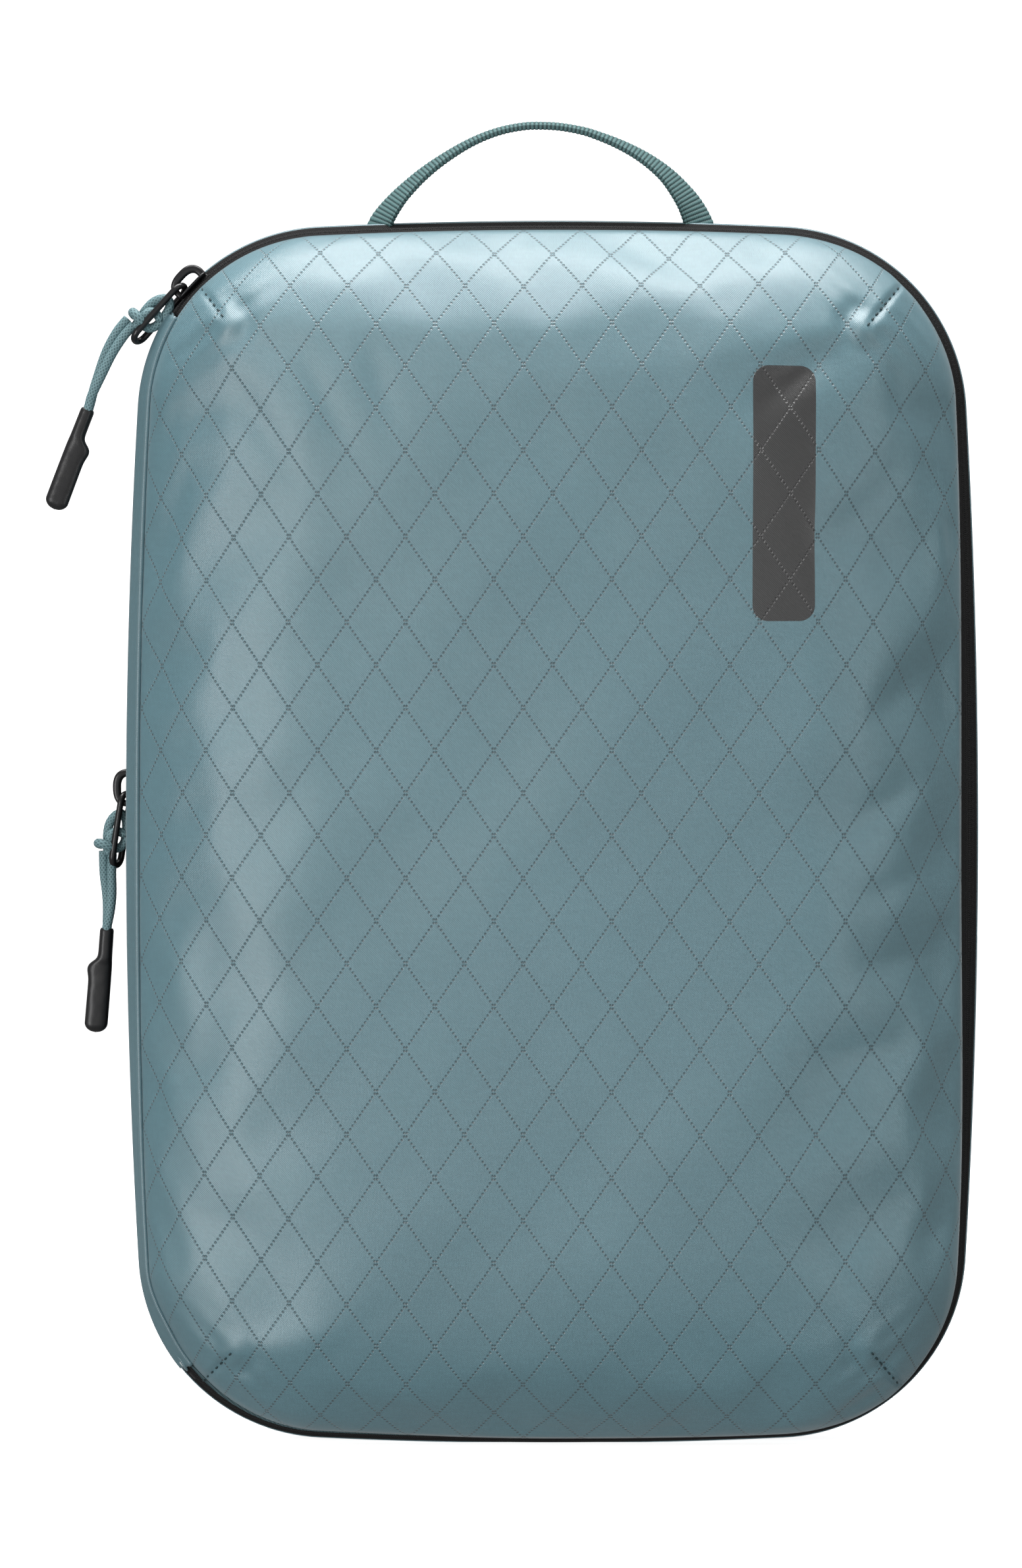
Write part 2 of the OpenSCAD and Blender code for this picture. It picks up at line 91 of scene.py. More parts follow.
# %% Camera
FRAME_WIDTH = 301 * MM
FRAME_HEIGHT = FRAME_WIDTH * 2380 / 1552
AIM = (-12.1 * MM, 0.0, MID_Z + 14.4 * MM)
CAMERA_DISTANCE = 1.9
CAMERA_LIFT = math.radians(0.8)

scene = bpy.context.scene
camera = bpy.data.objects.new("camera", bpy.data.cameras.new("camera"))
scene.collection.objects.link(camera)
scene.camera = camera
camera.data.sensor_fit = "AUTO"
camera.data.sensor_width = 36
camera.data.lens = camera.data.sensor_width * CAMERA_DISTANCE / FRAME_HEIGHT
camera.location = (AIM[0], -CAMERA_DISTANCE * math.cos(CAMERA_LIFT),
                   AIM[2] + CAMERA_DISTANCE * math.sin(CAMERA_LIFT))
camera.rotation_euler = (math.pi / 2 - CAMERA_LIFT, 0, 0)
print("lens %.0f mm from %.2f m" % (camera.data.lens, CAMERA_DISTANCE))

# %% [markdown]
# ## A small grammar for materials
# Every finish is a graph of maths nodes. Writing them out one by one hides the idea, so a few
# short helpers stand for the node editor: one makes a maths node, one mixes two colours, one
# turns a height into bumps, and one makes the shader itself.

# %% Material helpers
class Finish:
    """One node material: the maths, mixes and bumps that feed its shader."""

    def __init__(self, name, colour, roughness, **sockets):
        self.material = bpy.data.materials.new(name)
        self.material.use_nodes = True
        self.tree = self.material.node_tree
        self.shader = self.tree.nodes["Principled BSDF"]
        self.shader.inputs["Base Color"].default_value = (*colour, 1)
        self.shader.inputs["Roughness"].default_value = roughness
        for socket, value in sockets.items():
            self.shader.inputs[socket.replace("_", " ")].default_value = value

    def add(self, kind, **settings):
        node = self.tree.nodes.new(kind)
        for key, value in settings.items():
            setattr(node, key, value)
        return node

    def feed(self, socket, value):
        if isinstance(value, bpy.types.NodeSocket):
            self.tree.links.new(value, socket)
        elif value is not None:
            socket.default_value = value

    def maths(self, operation, *values):
        node = self.add("ShaderNodeMath", operation=operation)
        for socket, value in zip(node.inputs, values):
            self.feed(socket, value)
        return node.outputs[0]

    def plus(self, first, *rest):
        return self.maths("ADD", first, self.plus(*rest)) if rest else first

    def times(self, value, factor):
        return self.maths("MULTIPLY", value, factor)

    def stripes(self, value, pitch):
        """A sine wave of a place in metres, which repeats at the pitch."""
        return self.maths("SINE", self.times(value, 2 * math.pi / pitch))

    def place(self, kind="Object"):
        """The x, y and z of Object coordinates, or of the piece's own UV map."""
        split = self.add("ShaderNodeSeparateXYZ")
        self.feed(split.inputs[0], self.add("ShaderNodeTexCoord").outputs[kind])
        return split.outputs

    def noise(self, size, detail=2.0, kind="Object", stretch=(1, 1, 1)):
        """Noise from 0 to 1 with grains of about the given size, in metres."""
        mapping = self.add("ShaderNodeMapping")
        mapping.inputs["Scale"].default_value = tuple(s / size for s in stretch)
        self.feed(mapping.inputs["Vector"], self.add("ShaderNodeTexCoord").outputs[kind])
        node = self.add("ShaderNodeTexNoise")
        node.inputs["Scale"].default_value = 1
        node.inputs["Detail"].default_value = detail
        self.feed(node.inputs["Vector"], mapping.outputs[0])
        return node.outputs["Fac"]

    def ramp(self, value, low, high, to_low=0.0, to_high=1.0):
        """Smooth step of a value from one range to another."""
        node = self.add("ShaderNodeMapRange", interpolation_type="SMOOTHSTEP")
        for socket, number in zip(node.inputs, (value, low, high, to_low, to_high)):
            self.feed(socket, number)
        return node.outputs[0]

    def mix(self, share, first, second):
        node = self.add("ShaderNodeMix", data_type="RGBA")
        for socket, value in zip((node.inputs[0], node.inputs[6], node.inputs[7]),
                                 (share, first, second)):
            self.feed(socket, value)
        return node.outputs[2]

    def colour(self, value):
        self.feed(self.shader.inputs["Base Color"], value)

    def bump(self, height, distance):
        """Adds bumps of a height from 0 to 1, in metres, on top of those there already."""
        node = self.add("ShaderNodeBump")
        node.inputs["Strength"].default_value = 1
        node.inputs["Distance"].default_value = distance
        self.feed(node.inputs["Height"], height)
        before = self.shader.inputs["Normal"].links
        if before:
            self.feed(node.inputs["Normal"], before[0].from_socket)
        self.feed(self.shader.inputs["Normal"], node.outputs[0])


def shade(colour, factor):
    """The same colour, lighter or darker, with its alpha."""
    return (*[min(1.0, c * factor) for c in colour], 1)


# %% Floor, white shell, world and lamps
def only_for_camera(piece, colour, glow):
    """A self-lit surface that the camera sees and that throws no light on the cube."""
    finish = Finish(piece.name, colour, 0.9)
    finish.shader.inputs["Emission Color"].default_value = (1, 1, 1, 1)
    finish.shader.inputs["Emission Strength"].default_value = glow
    piece.data.materials.append(finish.material)
    piece.visible_diffuse = False
    piece.visible_glossy = False
    piece.visible_shadow = False


def lamp(name, place, size, watts):
    """A soft box: a rectangular lamp that faces the middle of the cube."""
    data = bpy.data.lights.new(name, "AREA")
    data.shape = "RECTANGLE"
    data.size, data.size_y = size
    data.energy = watts
    light = bpy.data.objects.new(name, data)
    light.location = place
    toward = np.array(CUBE_MIDDLE) - np.array(place)
    turn = math.atan2(toward[0], -toward[1])
    tilt = math.atan2(math.hypot(toward[0], toward[1]), -toward[2])
    light.rotation_euler = (tilt, 0, math.pi + turn)
    scene.collection.objects.link(light)


bpy.ops.mesh.primitive_circle_add(vertices=96, radius=4, fill_type="NGON")
floor = bpy.context.object
floor.name = "floor"
only_for_camera(floor, (0.9, 0.9, 0.9), 0.92)
bpy.ops.mesh.primitive_uv_sphere_add(segments=48, ring_count=24, radius=14)
shell = bpy.context.object
shell.name = "white_shell"
only_for_camera(shell, (1, 1, 1), 1.2)

WORLD_LIGHT = 0.265
world = bpy.data.worlds.new("world")
scene.world = world
world.use_nodes = True
world.node_tree.nodes["Background"].inputs[0].default_value = (1, 1, 1, 1)
world.node_tree.nodes["Background"].inputs[1].default_value = WORLD_LIGHT
scene.view_settings.view_transform = "Standard"

CUBE_MIDDLE = (0, 0, MID_Z)
lamp("overhead_box", (0, 0, 1.5), (1.4, 0.5), 25)
lamp("high_front_box", (0, -1.3, 1.9), (1.4, 0.8), 4.6)
lamp("left_box", (-1.15, -1.35, 0.1), (0.5, 1.3), 15)
lamp("right_box", (1.3, -1.2, 0.2), (0.5, 1.3), 4.4)
lamp("front_fill", (0, -2.6, 0), (1.6, 1.6), 4.2)
print("floor, shell and five soft boxes")

# %% [markdown]
# ## The outline as arcs
# Everything on a cube follows one closed line. It is nine arcs: half a side, a corner, an end,
# and so on round. A place on it is a step number, the same as in the CAD model, and a whole
# array of steps and insets is turned into points at once.

# %% Rim of the cube
ALL_STEPS = 104

# How far the lid's seam wanders inwards of its even line: step number, millimetres
SEAM_WANDER = np.array([(0, 0.4), (6, 0.2), (13, 0), (20, 0), (26, 0), (32, -0.3), (39, -1.2),
                        (45, -1.7), (52, 0.3), (58, -2.3), (65, -1.5), (72, 0), (78, 0.4),
                        (84, 1.1), (91, 1.7), (94, 1.5), (98, -0.4), (104, 0.4)])


def wander(step):
    """The wandering of the lid's seam at some steps, smoothed by a raised cosine."""
    step = np.asarray(step, float) % ALL_STEPS
    k = np.clip(np.searchsorted(SEAM_WANDER[:, 0], step, "right") - 1, 0, len(SEAM_WANDER) - 2)
    f = (step - SEAM_WANDER[k, 0]) / (SEAM_WANDER[k + 1, 0] - SEAM_WANDER[k, 0])
    f = (1 - np.cos(np.pi * f)) / 2
    return ((1 - f) * SEAM_WANDER[k, 1] + f * SEAM_WANDER[k + 1, 1]) * MM


def arc_sizes(inset_x, inset_z):
    """The outline's arcs at an inset: its half width and half height, the corner's radius and
    centre, and the radii of the long arcs of the sides and the ends."""
    w, h, r = HALF_W - inset_x, HALF_H - inset_z, CORNER_R - (inset_x + inset_z) / 2
    cx, cz = w - SIDE_BOW - r, h - END_BOW - r
    rs = ((w - cx) ** 2 + cz ** 2 - r ** 2) / (2 * SIDE_BOW)
    rt = ((h - cz) ** 2 + cx ** 2 - r ** 2) / (2 * END_BOW)
    return w, h, r, cx, cz, rs, rt


def rim(step, inset_x, inset_z, shift=(0.0, 0.0)):
    """Points x, z and outward normals of the outline at some steps and insets.
    Each stretch is a circular arc: centre + radius * (cos a, sin a), with a going from its
    first to its last angle as the step goes from its first to its last number."""
    step, dx, dz = np.broadcast_arrays(np.asarray(step, float) % ALL_STEPS, inset_x, inset_z)
    w, h, r, cx, cz, rs, rt = arc_sizes(dx, dz)
    s, t = np.arctan2(cz, cx - w + rs), np.arctan2(cz - h + rt, cx)
    pi, nil = np.pi, np.zeros_like(w)
    arcs = [(0, 6, rs - w, nil, rs, pi + nil, pi - s), (6, 14, -cx, cz, r, pi - s, pi - t),
            (20, 12, nil, h - rt, rt, pi - t, t), (32, 14, cx, cz, r, t, s),
            (46, 12, w - rs, nil, rs, s, -s), (58, 14, cx, -cz, r, -s, -t),
            (72, 12, nil, rt - h, rt, -t, t - pi), (84, 14, -cx, -cz, r, t - pi, s - pi),
            (98, 6, rs - w, nil, rs, s - pi, -pi + nil)]
    x, z, angle = nil.copy(), nil.copy(), nil.copy()
    for first, count, ax, az, radius, a0, a1 in arcs:
        here = step >= first
        a = a0 + (a1 - a0) * (step - first) / count
        x = np.where(here, ax + radius * np.cos(a), x)
        z = np.where(here, az + radius * np.sin(a), z)
        angle = np.where(here, a, angle)
    if shift != (0.0, 0.0):
        x, z = x - wander(step) * np.cos(angle), z - wander(step) * np.sin(angle)
    level = np.maximum(z + shift[1] + MID_Z, 0)
    return x + shift[0], level, np.cos(angle), np.sin(angle)


def running(lengths):
    """The running total of some lengths, from 0."""
    return np.concatenate([[0], np.cumsum(lengths)])


def even_steps(first, last, shares):
    """Steps at some shares of the distance along the outline, from one step to another."""
    table = np.linspace(first, last, 1200)
    x, z, _, _ = rim(table, 0.0, 0.0)
    run = running(np.hypot(np.diff(x), np.diff(z)))
    return np.interp(np.asarray(shares) * run[-1], run, table), run[-1]


_, RIM_LENGTH = even_steps(0, ALL_STEPS, [1.0])
print("once round the cube is %.3f m" % RIM_LENGTH)

# %% [markdown]
# ## From a grid of points to a mesh
# All the cloth, tape, cord and moulding below is made one way: a function gives a grid of
# points, and one helper joins neighbours into quads. It also stores a map in metres on the
# mesh, so a weave keeps its true size however the piece bends.

# %% Grid surfaces
def surface(name, points, across, along, loop_u=False, loop_v=False, caps=False):
    """A mesh from a grid of points, with a map in metres.
    points is n by m by 3; across and along are the map's two values at each point. A looped
    direction joins its last row to its first, and there the map runs on by one more spacing.
    caps closes the two ends of a tube with flat faces."""
    n, m = points.shape[:2]
    i, j = np.meshgrid(np.arange(n if loop_u else n - 1), np.arange(m if loop_v else m - 1),
                       indexing="ij")
    corner_i = np.stack([i, i + 1, i + 1, i], -1).reshape(-1, 4)
    corner_j = np.stack([j, j, j + 1, j + 1], -1).reshape(-1, 4)
    faces = ((corner_i % n) * m + corner_j % m).tolist()
    if caps:
        faces += [list(range(m))[::-1], list(range((n - 1) * m, n * m))]
    mesh = bpy.data.meshes.new(name)
    mesh.from_pydata(points.reshape(-1, 3).tolist(), [], faces)

    def at_corners(values):
        if loop_u:
            values = np.concatenate([values, 2 * values[-1:] - values[-2:-1]])
        if loop_v:
            values = np.concatenate([values, 2 * values[:, -1:] - values[:, -2:-1]], 1)
        return values[corner_i.ravel(), corner_j.ravel()]

    uv = np.zeros((len(mesh.loops), 2), np.float32)
    uv[:corner_i.size] = np.stack([at_corners(across), at_corners(along)], 1)
    layer = mesh.uv_layers.new(name="metres")
    layer.data.foreach_set("uv", uv.ravel())
    mesh.polygons.foreach_set("use_smooth", np.ones(len(mesh.polygons), bool))
    piece = bpy.data.objects.new(name, mesh)
    scene.collection.objects.link(piece)
    return piece


def point_outwards(piece):
    """Turns a closed mesh's faces outwards."""
    mesh = bmesh.new()
    mesh.from_mesh(piece.data)
    bmesh.ops.recalc_face_normals(mesh, faces=mesh.faces)
    mesh.to_mesh(piece.data)
    mesh.free()
    return piece


def join(pieces, name):
    """Joins several pieces into the first, under one name."""
    with bpy.context.temp_override(active_object=pieces[0], selected_editable_objects=pieces):
        bpy.ops.object.join()
    pieces[0].name = name
    return pieces[0]


def squircle(angle, power_a, power_b):
    """The cosine and the sine of an angle with their sizes raised to powers. Powers below 1
    square a circle off."""
    a, b = np.cos(angle), np.sin(angle)
    return np.sign(a) * np.abs(a) ** power_a, np.sign(b) * np.abs(b) ** power_b


def dress(piece, finish, body=None, stands_for=()):
    """Gives a piece its material, its body and the CAD nodes it stands for."""
    piece.data.materials.clear()
    piece.data.materials.append(finish.material)
    if stands_for:
        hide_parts(*stands_for)
    if body:
        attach(piece, body)
    return piece


def thicken(piece, thickness):
    """Adds a wall behind an open sheet."""
    wall = piece.modifiers.new("wall", "SOLIDIFY")
    wall.thickness = thickness
    wall.offset = -1
    wall.use_rim = True


print("helpers ready")

# %% [markdown]
# ## The free cords
# Each zipper pull is a doubled cord, knotted through a ring and moulded into a grip. The
# points are the CAD model's own route, in metres, and a smooth curve runs through them. The
# braid is real relief: two families of strands wind round the cord in opposite directions,
# and the surface rises where a strand lies on top. Its colour is also painted lighter on the
# strands' tops and darker in the gaps between them, as painted highlight and shade.

# %% Braided cord
CORD_D = 2.8 * MM
STRAND_GAP = CORD_D / 2 + 0.05 * MM
BRAID_PITCH = 5.6 * MM
BRAID_STRANDS = 8


def smooth_route(points, spacing):
    """A curve through all points (Catmull-Rom: each span is a cubic whose end slopes are half
    the chord between the neighbours), sampled evenly at about the given spacing."""
    p = np.asarray(points, float)
    p = np.vstack([2 * p[0] - p[1], p, 2 * p[-1] - p[-2]])
    t = np.linspace(0, len(p) - 3 - 1e-9, 60 * len(p))
    k = t.astype(int)
    f = (t - k)[:, None]
    a, b, c, d = p[k], p[k + 1], p[k + 2], p[k + 3]
    line = 0.5 * (2 * b + (c - a) * f + (2 * a - 5 * b + 4 * c - d) * f ** 2
                  + (3 * b - a - 3 * c + d) * f ** 3)
    run = running(np.linalg.norm(np.diff(line, axis=0), axis=1))
    at = np.linspace(0, run[-1], max(8, int(run[-1] / spacing) + 1))
    return np.stack([np.interp(at, run, line[:, k]) for k in range(3)], 1), at


def smooth_path(points, count, scale=MM):
    """The same smooth curve, resampled to a given number of points."""
    fine, run = smooth_route(points, 0.05 * scale)
    at = np.linspace(0, run[-1], count)
    return np.stack([np.interp(at, run, fine[:, k]) for k in range(3)], 1), at


def unit(v):
    return v / np.linalg.norm(v, axis=-1, keepdims=True)


def side_frames(line):
    """Two unit vectors square to the line at each point, and to each other."""
    along = unit(np.gradient(line, axis=0))
    side = unit(np.cross(along, np.broadcast_to((0.0, 1.0, 0.013), along.shape)))
    return side, np.cross(along, side)


def braided_tube(name, route, diameter, spacing=0.22 * MM, sides=36, taper=0.0):
    """A cord: radius * (1 + relief) round a smooth route. The relief is the greater of two
    crossed waves, cos(strands * angle +- turns along), which is what a braid's surface does.
    A taper rounds both ends over that distance."""
    line, run = smooth_route(route, spacing)
    a, b = side_frames(line)
    angle = np.linspace(0, 2 * np.pi, sides, endpoint=False)[None, :]
    wind = (2 * np.pi * BRAID_STRANDS / 2 * run / BRAID_PITCH)[:, None]
    left = np.cos(BRAID_STRANDS * angle + wind)
    right = np.cos(BRAID_STRANDS * angle - wind)
    relief = 0.035 * (np.maximum(left, right) - 0.35) - 0.012 * np.abs(left * right)
    end = np.minimum(run, run[-1] - run)
    cap = np.sqrt(1 - (1 - np.clip(end / taper, 0, 1)) ** 2) if taper else np.ones(len(run))
    cap = np.maximum(cap, 0.15)
    radius = diameter / 2 * cap[:, None] * (1 + relief)
    points = (line[:, None] + radius[..., None]
              * (np.cos(angle)[..., None] * a[:, None] + np.sin(angle)[..., None] * b[:, None]))
    across = np.broadcast_to(angle * diameter / 2, radius.shape)
    along = np.broadcast_to(run[:, None], radius.shape)
    tube = surface(name, points, across, along, loop_v=True, caps=True)
    return point_outwards(tube), line


cord_finish = Finish("braided_cord", (0.235, 0.38, 0.41), 0.62)
u, v, _ = cord_finish.place("UV")
lay = cord_finish.times(v, 2 * math.pi * BRAID_STRANDS / 2 / BRAID_PITCH)
turn = cord_finish.times(u, 2 * BRAID_STRANDS / CORD_D)
crossed = [cord_finish.maths("COSINE", cord_finish.maths(sign, turn, lay))
           for sign in ("ADD", "SUBTRACT")]
raised = cord_finish.maths("MAXIMUM", *crossed)
fibre = cord_finish.noise(0.16 * MM, 1.0)
# Painted highlight and shade: the braid's colour is lighter where a strand lies on top and darker
# in the gaps between strands; the fibre noise adds real random tone.
tone = cord_finish.plus(cord_finish.times(raised, 0.6), cord_finish.times(fibre, 0.7))
cord_finish.colour(cord_finish.mix(cord_finish.ramp(tone, 0.0, 0.95),
                                   (0.07, 0.135, 0.15, 1), (0.20, 0.33, 0.355, 1)))
cord_finish.bump(fibre, 0.06 * MM)

# Each cord's route from its knot into its grip, in metres, as in the CAD model
MAIN_CORD = np.array([(-123.6, -6, 150), (-126.6, -5.6, 146.6), (-130, -5, 141),
                      (-133, -4.2, 134), (-135, -3.4, 129), (-136.3, -3, 124.5),
                      (-138, -3, 120)]) * MM + (0, 0, MID_Z)
COMP_CORD = np.array([(-131.6, 12, -5.6), (-131.6, 12, -12), (-131.2, 12, -18),
                      (-131.3, 12, -23), (-131.9, 12, -28.5),
                      (-132.5, 12, -36.5)]) * MM + (0, 0, MID_Z)


def beside(route, sign):
    """One of two strands: the route moved half a gap aside, in a direction that turns from
    side by side at the knot to front and back where the grip holds both."""
    line, _ = smooth_route(route, 2 * MM)
    ahead = unit(np.gradient(line, axis=0))
    flat = unit(np.cross((0.0, 1.0, 0.0), ahead))
    share = np.linspace(0, 1, len(line))
    turn = np.radians(25 + 65 * np.clip(share / 0.75, 0, 1) ** 1.3)[:, None]
    return line + sign * STRAND_GAP * (np.cos(turn) * flat + np.sin(turn) * np.array([0, 1, 0]))


for pull, route in (("main", MAIN_CORD), ("comp", COMP_CORD)):
    for side, sign in (("front", -1), ("rear", 1)):
        name = f"{pull}_cord_{side}"
        piece, line = braided_tube(name + "_strand", beside(route, sign), CORD_D)
        dress(piece, cord_finish, f"{pull}_pull", [name])

# %% [markdown]
# ## Slider frames
# The sliders, rings and knots were drawn in the CAD model in frames of their own: outwards,
# across the zipper, and along it. The same three directions are set up here, so that a knot
# or a ring can be drawn straight and then put in place.

# %% Frames on the zippers
COIL_INSET = 3 * MM
MAIN_PARK, COMP_PARK = math.radians(136), 13.2 * MM
MAIN_RING_TILT, COMP_RING_TILT = math.radians(-2), math.radians(8.7)
PIN_OUT, PIN_ALONG = 3.6 * MM, 1.9 * MM
CORNER = np.array([-(HALF_W - SIDE_BOW - CORNER_R), HALF_H - END_BOW - CORNER_R])


def placer(origin, out, along):
    """A function that moves points drawn as (out, across, along) into the cube's frame."""
    basis = np.array([out, (0, 1, 0), along], float)
    return lambda p: np.asarray(p, float) @ basis + origin


def corner_frame(angle, centre=CORNER):
    """Frame on a left corner's coil at an angle, with 'along' going anticlockwise."""
    out = np.array([math.cos(angle), 0, math.sin(angle)])
    along = np.array([-math.sin(angle), 0, math.cos(angle)])
    origin = np.array([centre[0], MAIN_ZIP_Y, MID_Z + centre[1]]) + out * (CORNER_R - COIL_INSET)
    return origin, out, along


def hang(origin, out, along, tilt):
    """Frame of a ring on a slider's bridge, turned by a tilt about the bridge."""
    pin = origin + out * PIN_OUT + along * PIN_ALONG
    return (pin, out * math.cos(tilt) - along * math.sin(tilt),
            out * math.sin(tilt) + along * math.cos(tilt))


def twisted(points, degrees):
    """Points drawn as (out, across, along), turned about the ring's own length."""
    a = math.radians(degrees)
    out, across, along = np.moveaxis(np.asarray(points, float), -1, 0)
    return np.stack([out * math.cos(a) - across * math.sin(a),
                     out * math.sin(a) + across * math.cos(a), along], -1)


main_at = corner_frame(MAIN_PARK)
comp_at = (np.array([COIL_INSET - HALF_W, COMP_ZIP_Y, MID_Z + COMP_PARK]),
           np.array([-1.0, 0, 0]), np.array([0, 0, -1.0]))
SLIDERS = {"main": (placer(*main_at), placer(*hang(*main_at, MAIN_RING_TILT))),
           "comp": (placer(*comp_at), placer(*hang(*comp_at, COMP_RING_TILT)))}
print("slider frames at", np.round(main_at[0], 4), np.round(comp_at[0], 4))

# %% [markdown]
# ## Knots
# One strand comes up beside the ring, passes through it, comes back below and wraps once round
# both strands. The other strand goes up under that wrap and through the ring. Two braided
# tubes follow those two routes.

# %% Knots through the rings
KNOT_LOOP = [(2.9, 1.2, 18.6), (3.3, 1.3, 15.8), (3.8, 1.0, 12.4), (3.6, 0.5, 9.4),
             (2.4, 0.1, 7.0), (0.7, 0, 6.0), (-0.9, 0, 7.3), (-1.6, 0.2, 10.2),
             (-1.8, 0.3, 13.2), (-0.9, 0.1, 15.6), (0.8, -0.9, 16.4), (2.6, -2.5, 16.1),
             (4.5, -2.7, 15.6), (5.9, -1.2, 15.6), (5.8, 0.9, 15.9), (4.4, 2.0, 16.0)]
KNOT_RETURN = [(2.4, -1.3, 18.8), (2.7, -1.2, 15.6), (2.6, -1.0, 12.8), (1.3, -0.7, 11.5),
               (-0.6, -0.6, 11.6), (-1.4, -0.2, 12.6)]


def knot(pull):
    """The loop and the returning strand of one pull's knot, joined into one piece."""
    place = SLIDERS[pull][1]
    parts = []
    for label, route in (("loop", KNOT_LOOP), ("return", KNOT_RETURN)):
        tube, _ = braided_tube(f"{pull}_knot_{label}", place(np.array(route) * MM),
                               CORD_D * 0.97, taper=0.8 * MM)
        parts.append(tube)
    tied = join(parts, f"{pull}_knot_tied")
    return dress(tied, cord_finish, f"{pull}_pull", [f"{pull}_knot"])


knots = {pull: knot(pull) for pull in SLIDERS}
print("two knots tied")

# %% [markdown]
# ## Moulded grips
# A grip is shrunk over the cord: a narrow round neck, a shoulder on one side, a flat paddle
# and a rounded foot. It is one tube whose section is a squircle, with its two half-widths and
# its middle line given as smooth curves down its length.

# %% Grips
GRIP_LENGTH = 31 * MM
MAIN_GRIP = ((-136.3, -3, 124.5), math.radians(21.2), 1)
COMP_GRIP = ((-131.9, 12, -28.5), math.radians(4.2), -1)


def moulded_grip(name, top, tilt, side):
    """A squircle section carried down the grip: |x/a|^2.6 + |y/b|^2.6 = 1. The edge next to
    the shoulder steps out between a quarter and a half of the way down."""
    run = np.linspace(0, 1, 150)
    depth = run * GRIP_LENGTH
    step = 1 / (1 + np.exp(-(depth - 9.9 * MM) / (0.58 * MM)))
    foot = np.sqrt(np.clip(1 - np.clip((depth - 28.2 * MM) / (2.8 * MM), 0, 1) ** 2, 0.0004, 1))
    lip = 1 - 0.12 * np.exp(-(depth / (0.4 * MM)) ** 2)
    hump = np.exp(-((depth - 12.2 * MM) / (2.2 * MM)) ** 2)
    straight = (-2.1 - 0.15 * step - 0.1 * np.sin(3 * run)) * MM
    shoulder = (2.0 + 2.2 * step + 0.6 * hump + 0.4 * run * step) * MM
    middle = (straight + shoulder) / 2
    half_x = (shoulder - straight) / 2 * foot * lip
    half_y = (2.95 - 0.65 * step) * MM * foot * lip
    angle = np.linspace(0, 2 * np.pi, 48, endpoint=False)
    round_x, round_y = squircle(angle, 2 / 2.6, 2 / 2.6)
    x = side * (middle[:, None] + half_x[:, None] * round_x)
    y = half_y[:, None] * round_y
    z = np.broadcast_to(-depth[:, None], x.shape)
    turned = np.stack([x * math.cos(tilt) + z * math.sin(tilt), y,
                       -x * math.sin(tilt) + z * math.cos(tilt)], -1)
    points = turned + np.array(top) * MM + (0, 0, MID_Z)
    grip = surface(name, points, np.broadcast_to(angle * 3 * MM, x.shape), -z, loop_v=True,
                   caps=True)
    return point_outwards(grip)


grip_finish = Finish("grip_rubber", (0.012, 0.012, 0.013), 0.38)
grip_finish.bump(grip_finish.noise(0.35 * MM, 3), 0.03 * MM)
grip_finish.bump(grip_finish.noise(4 * MM, 1), 0.25 * MM)
for pull, shape in (("main", MAIN_GRIP), ("comp", COMP_GRIP)):
    dress(moulded_grip(f"{pull}_grip_moulded", *shape), grip_finish,
                        f"{pull}_pull", [f"{pull}_grip"])

# %% [markdown]
# ## Sliders and rings
# A slider is two plates on a post, cast as one, with a loop of bar over the top. Each plate is
# a flat superellipse with soft edges. The loop and the ring are a round bar carried along an
# arch and along a long oval. All of it is painted satin black.

# %% Painted hardware
hardware = Finish("painted_hardware", (0.010, 0.010, 0.011), 0.30)
hardware.bump(hardware.noise(0.8 * MM, 2), 0.02 * MM)


def slab(half_along, half_across, low, high, edge, taper=0.0):
    """A plate in a slider's frame: a superellipse outline whose edge is rounded over by
    shrinking the outline at its top and bottom, narrower at one end by the taper."""
    angle = np.linspace(0, 2 * np.pi, 56, endpoint=False)[None, :]
    fade = np.array([0.0, 0.55, 1, 1, 0.55, 0.0])[:, None]
    level = np.array([low, low + edge * 0.3, low + edge, high - edge, high - edge * 0.3, high])
    inset = edge * (1 - fade)
    round_a, round_b = squircle(angle, 0.5, 0.5)
    along = (half_along - inset) * round_a
    narrow = 1 - taper * (along / half_along + 1) / 2
    across = (half_across - inset) * round_b * narrow
    out = np.broadcast_to(level[:, None], along.shape)
    return np.stack([out, across, along], -1)


def bar(line, half_a, half_b):
    """A rounded bar along a line that lies in the plane of out and along."""
    ahead = unit(np.gradient(line, axis=0))
    wide = np.broadcast_to((0.0, 1.0, 0.0), ahead.shape)
    thick = np.cross(ahead, wide)
    angle = np.linspace(0, 2 * np.pi, 20, endpoint=False)[None, :, None]
    round_a, round_b = squircle(angle, 0.72, 0.72)
    half_b = np.broadcast_to(half_b, (len(line),))[:, None, None]
    return (line[:, None] + half_a * round_a * wide[:, None]
            + half_b * round_b * thick[:, None])


def joined(name, grids, place):
    """Several grids, each a closed tube or slab, placed and joined into one piece."""
    pieces = []
    for number, (grid, closed) in enumerate(grids):
        flat = np.zeros(grid.shape[:2])
        pieces.append(surface(f"{name}_{number}", place(grid), flat, flat, loop_u=closed,
                              loop_v=True, caps=not closed))
    return point_outwards(join(pieces, name))


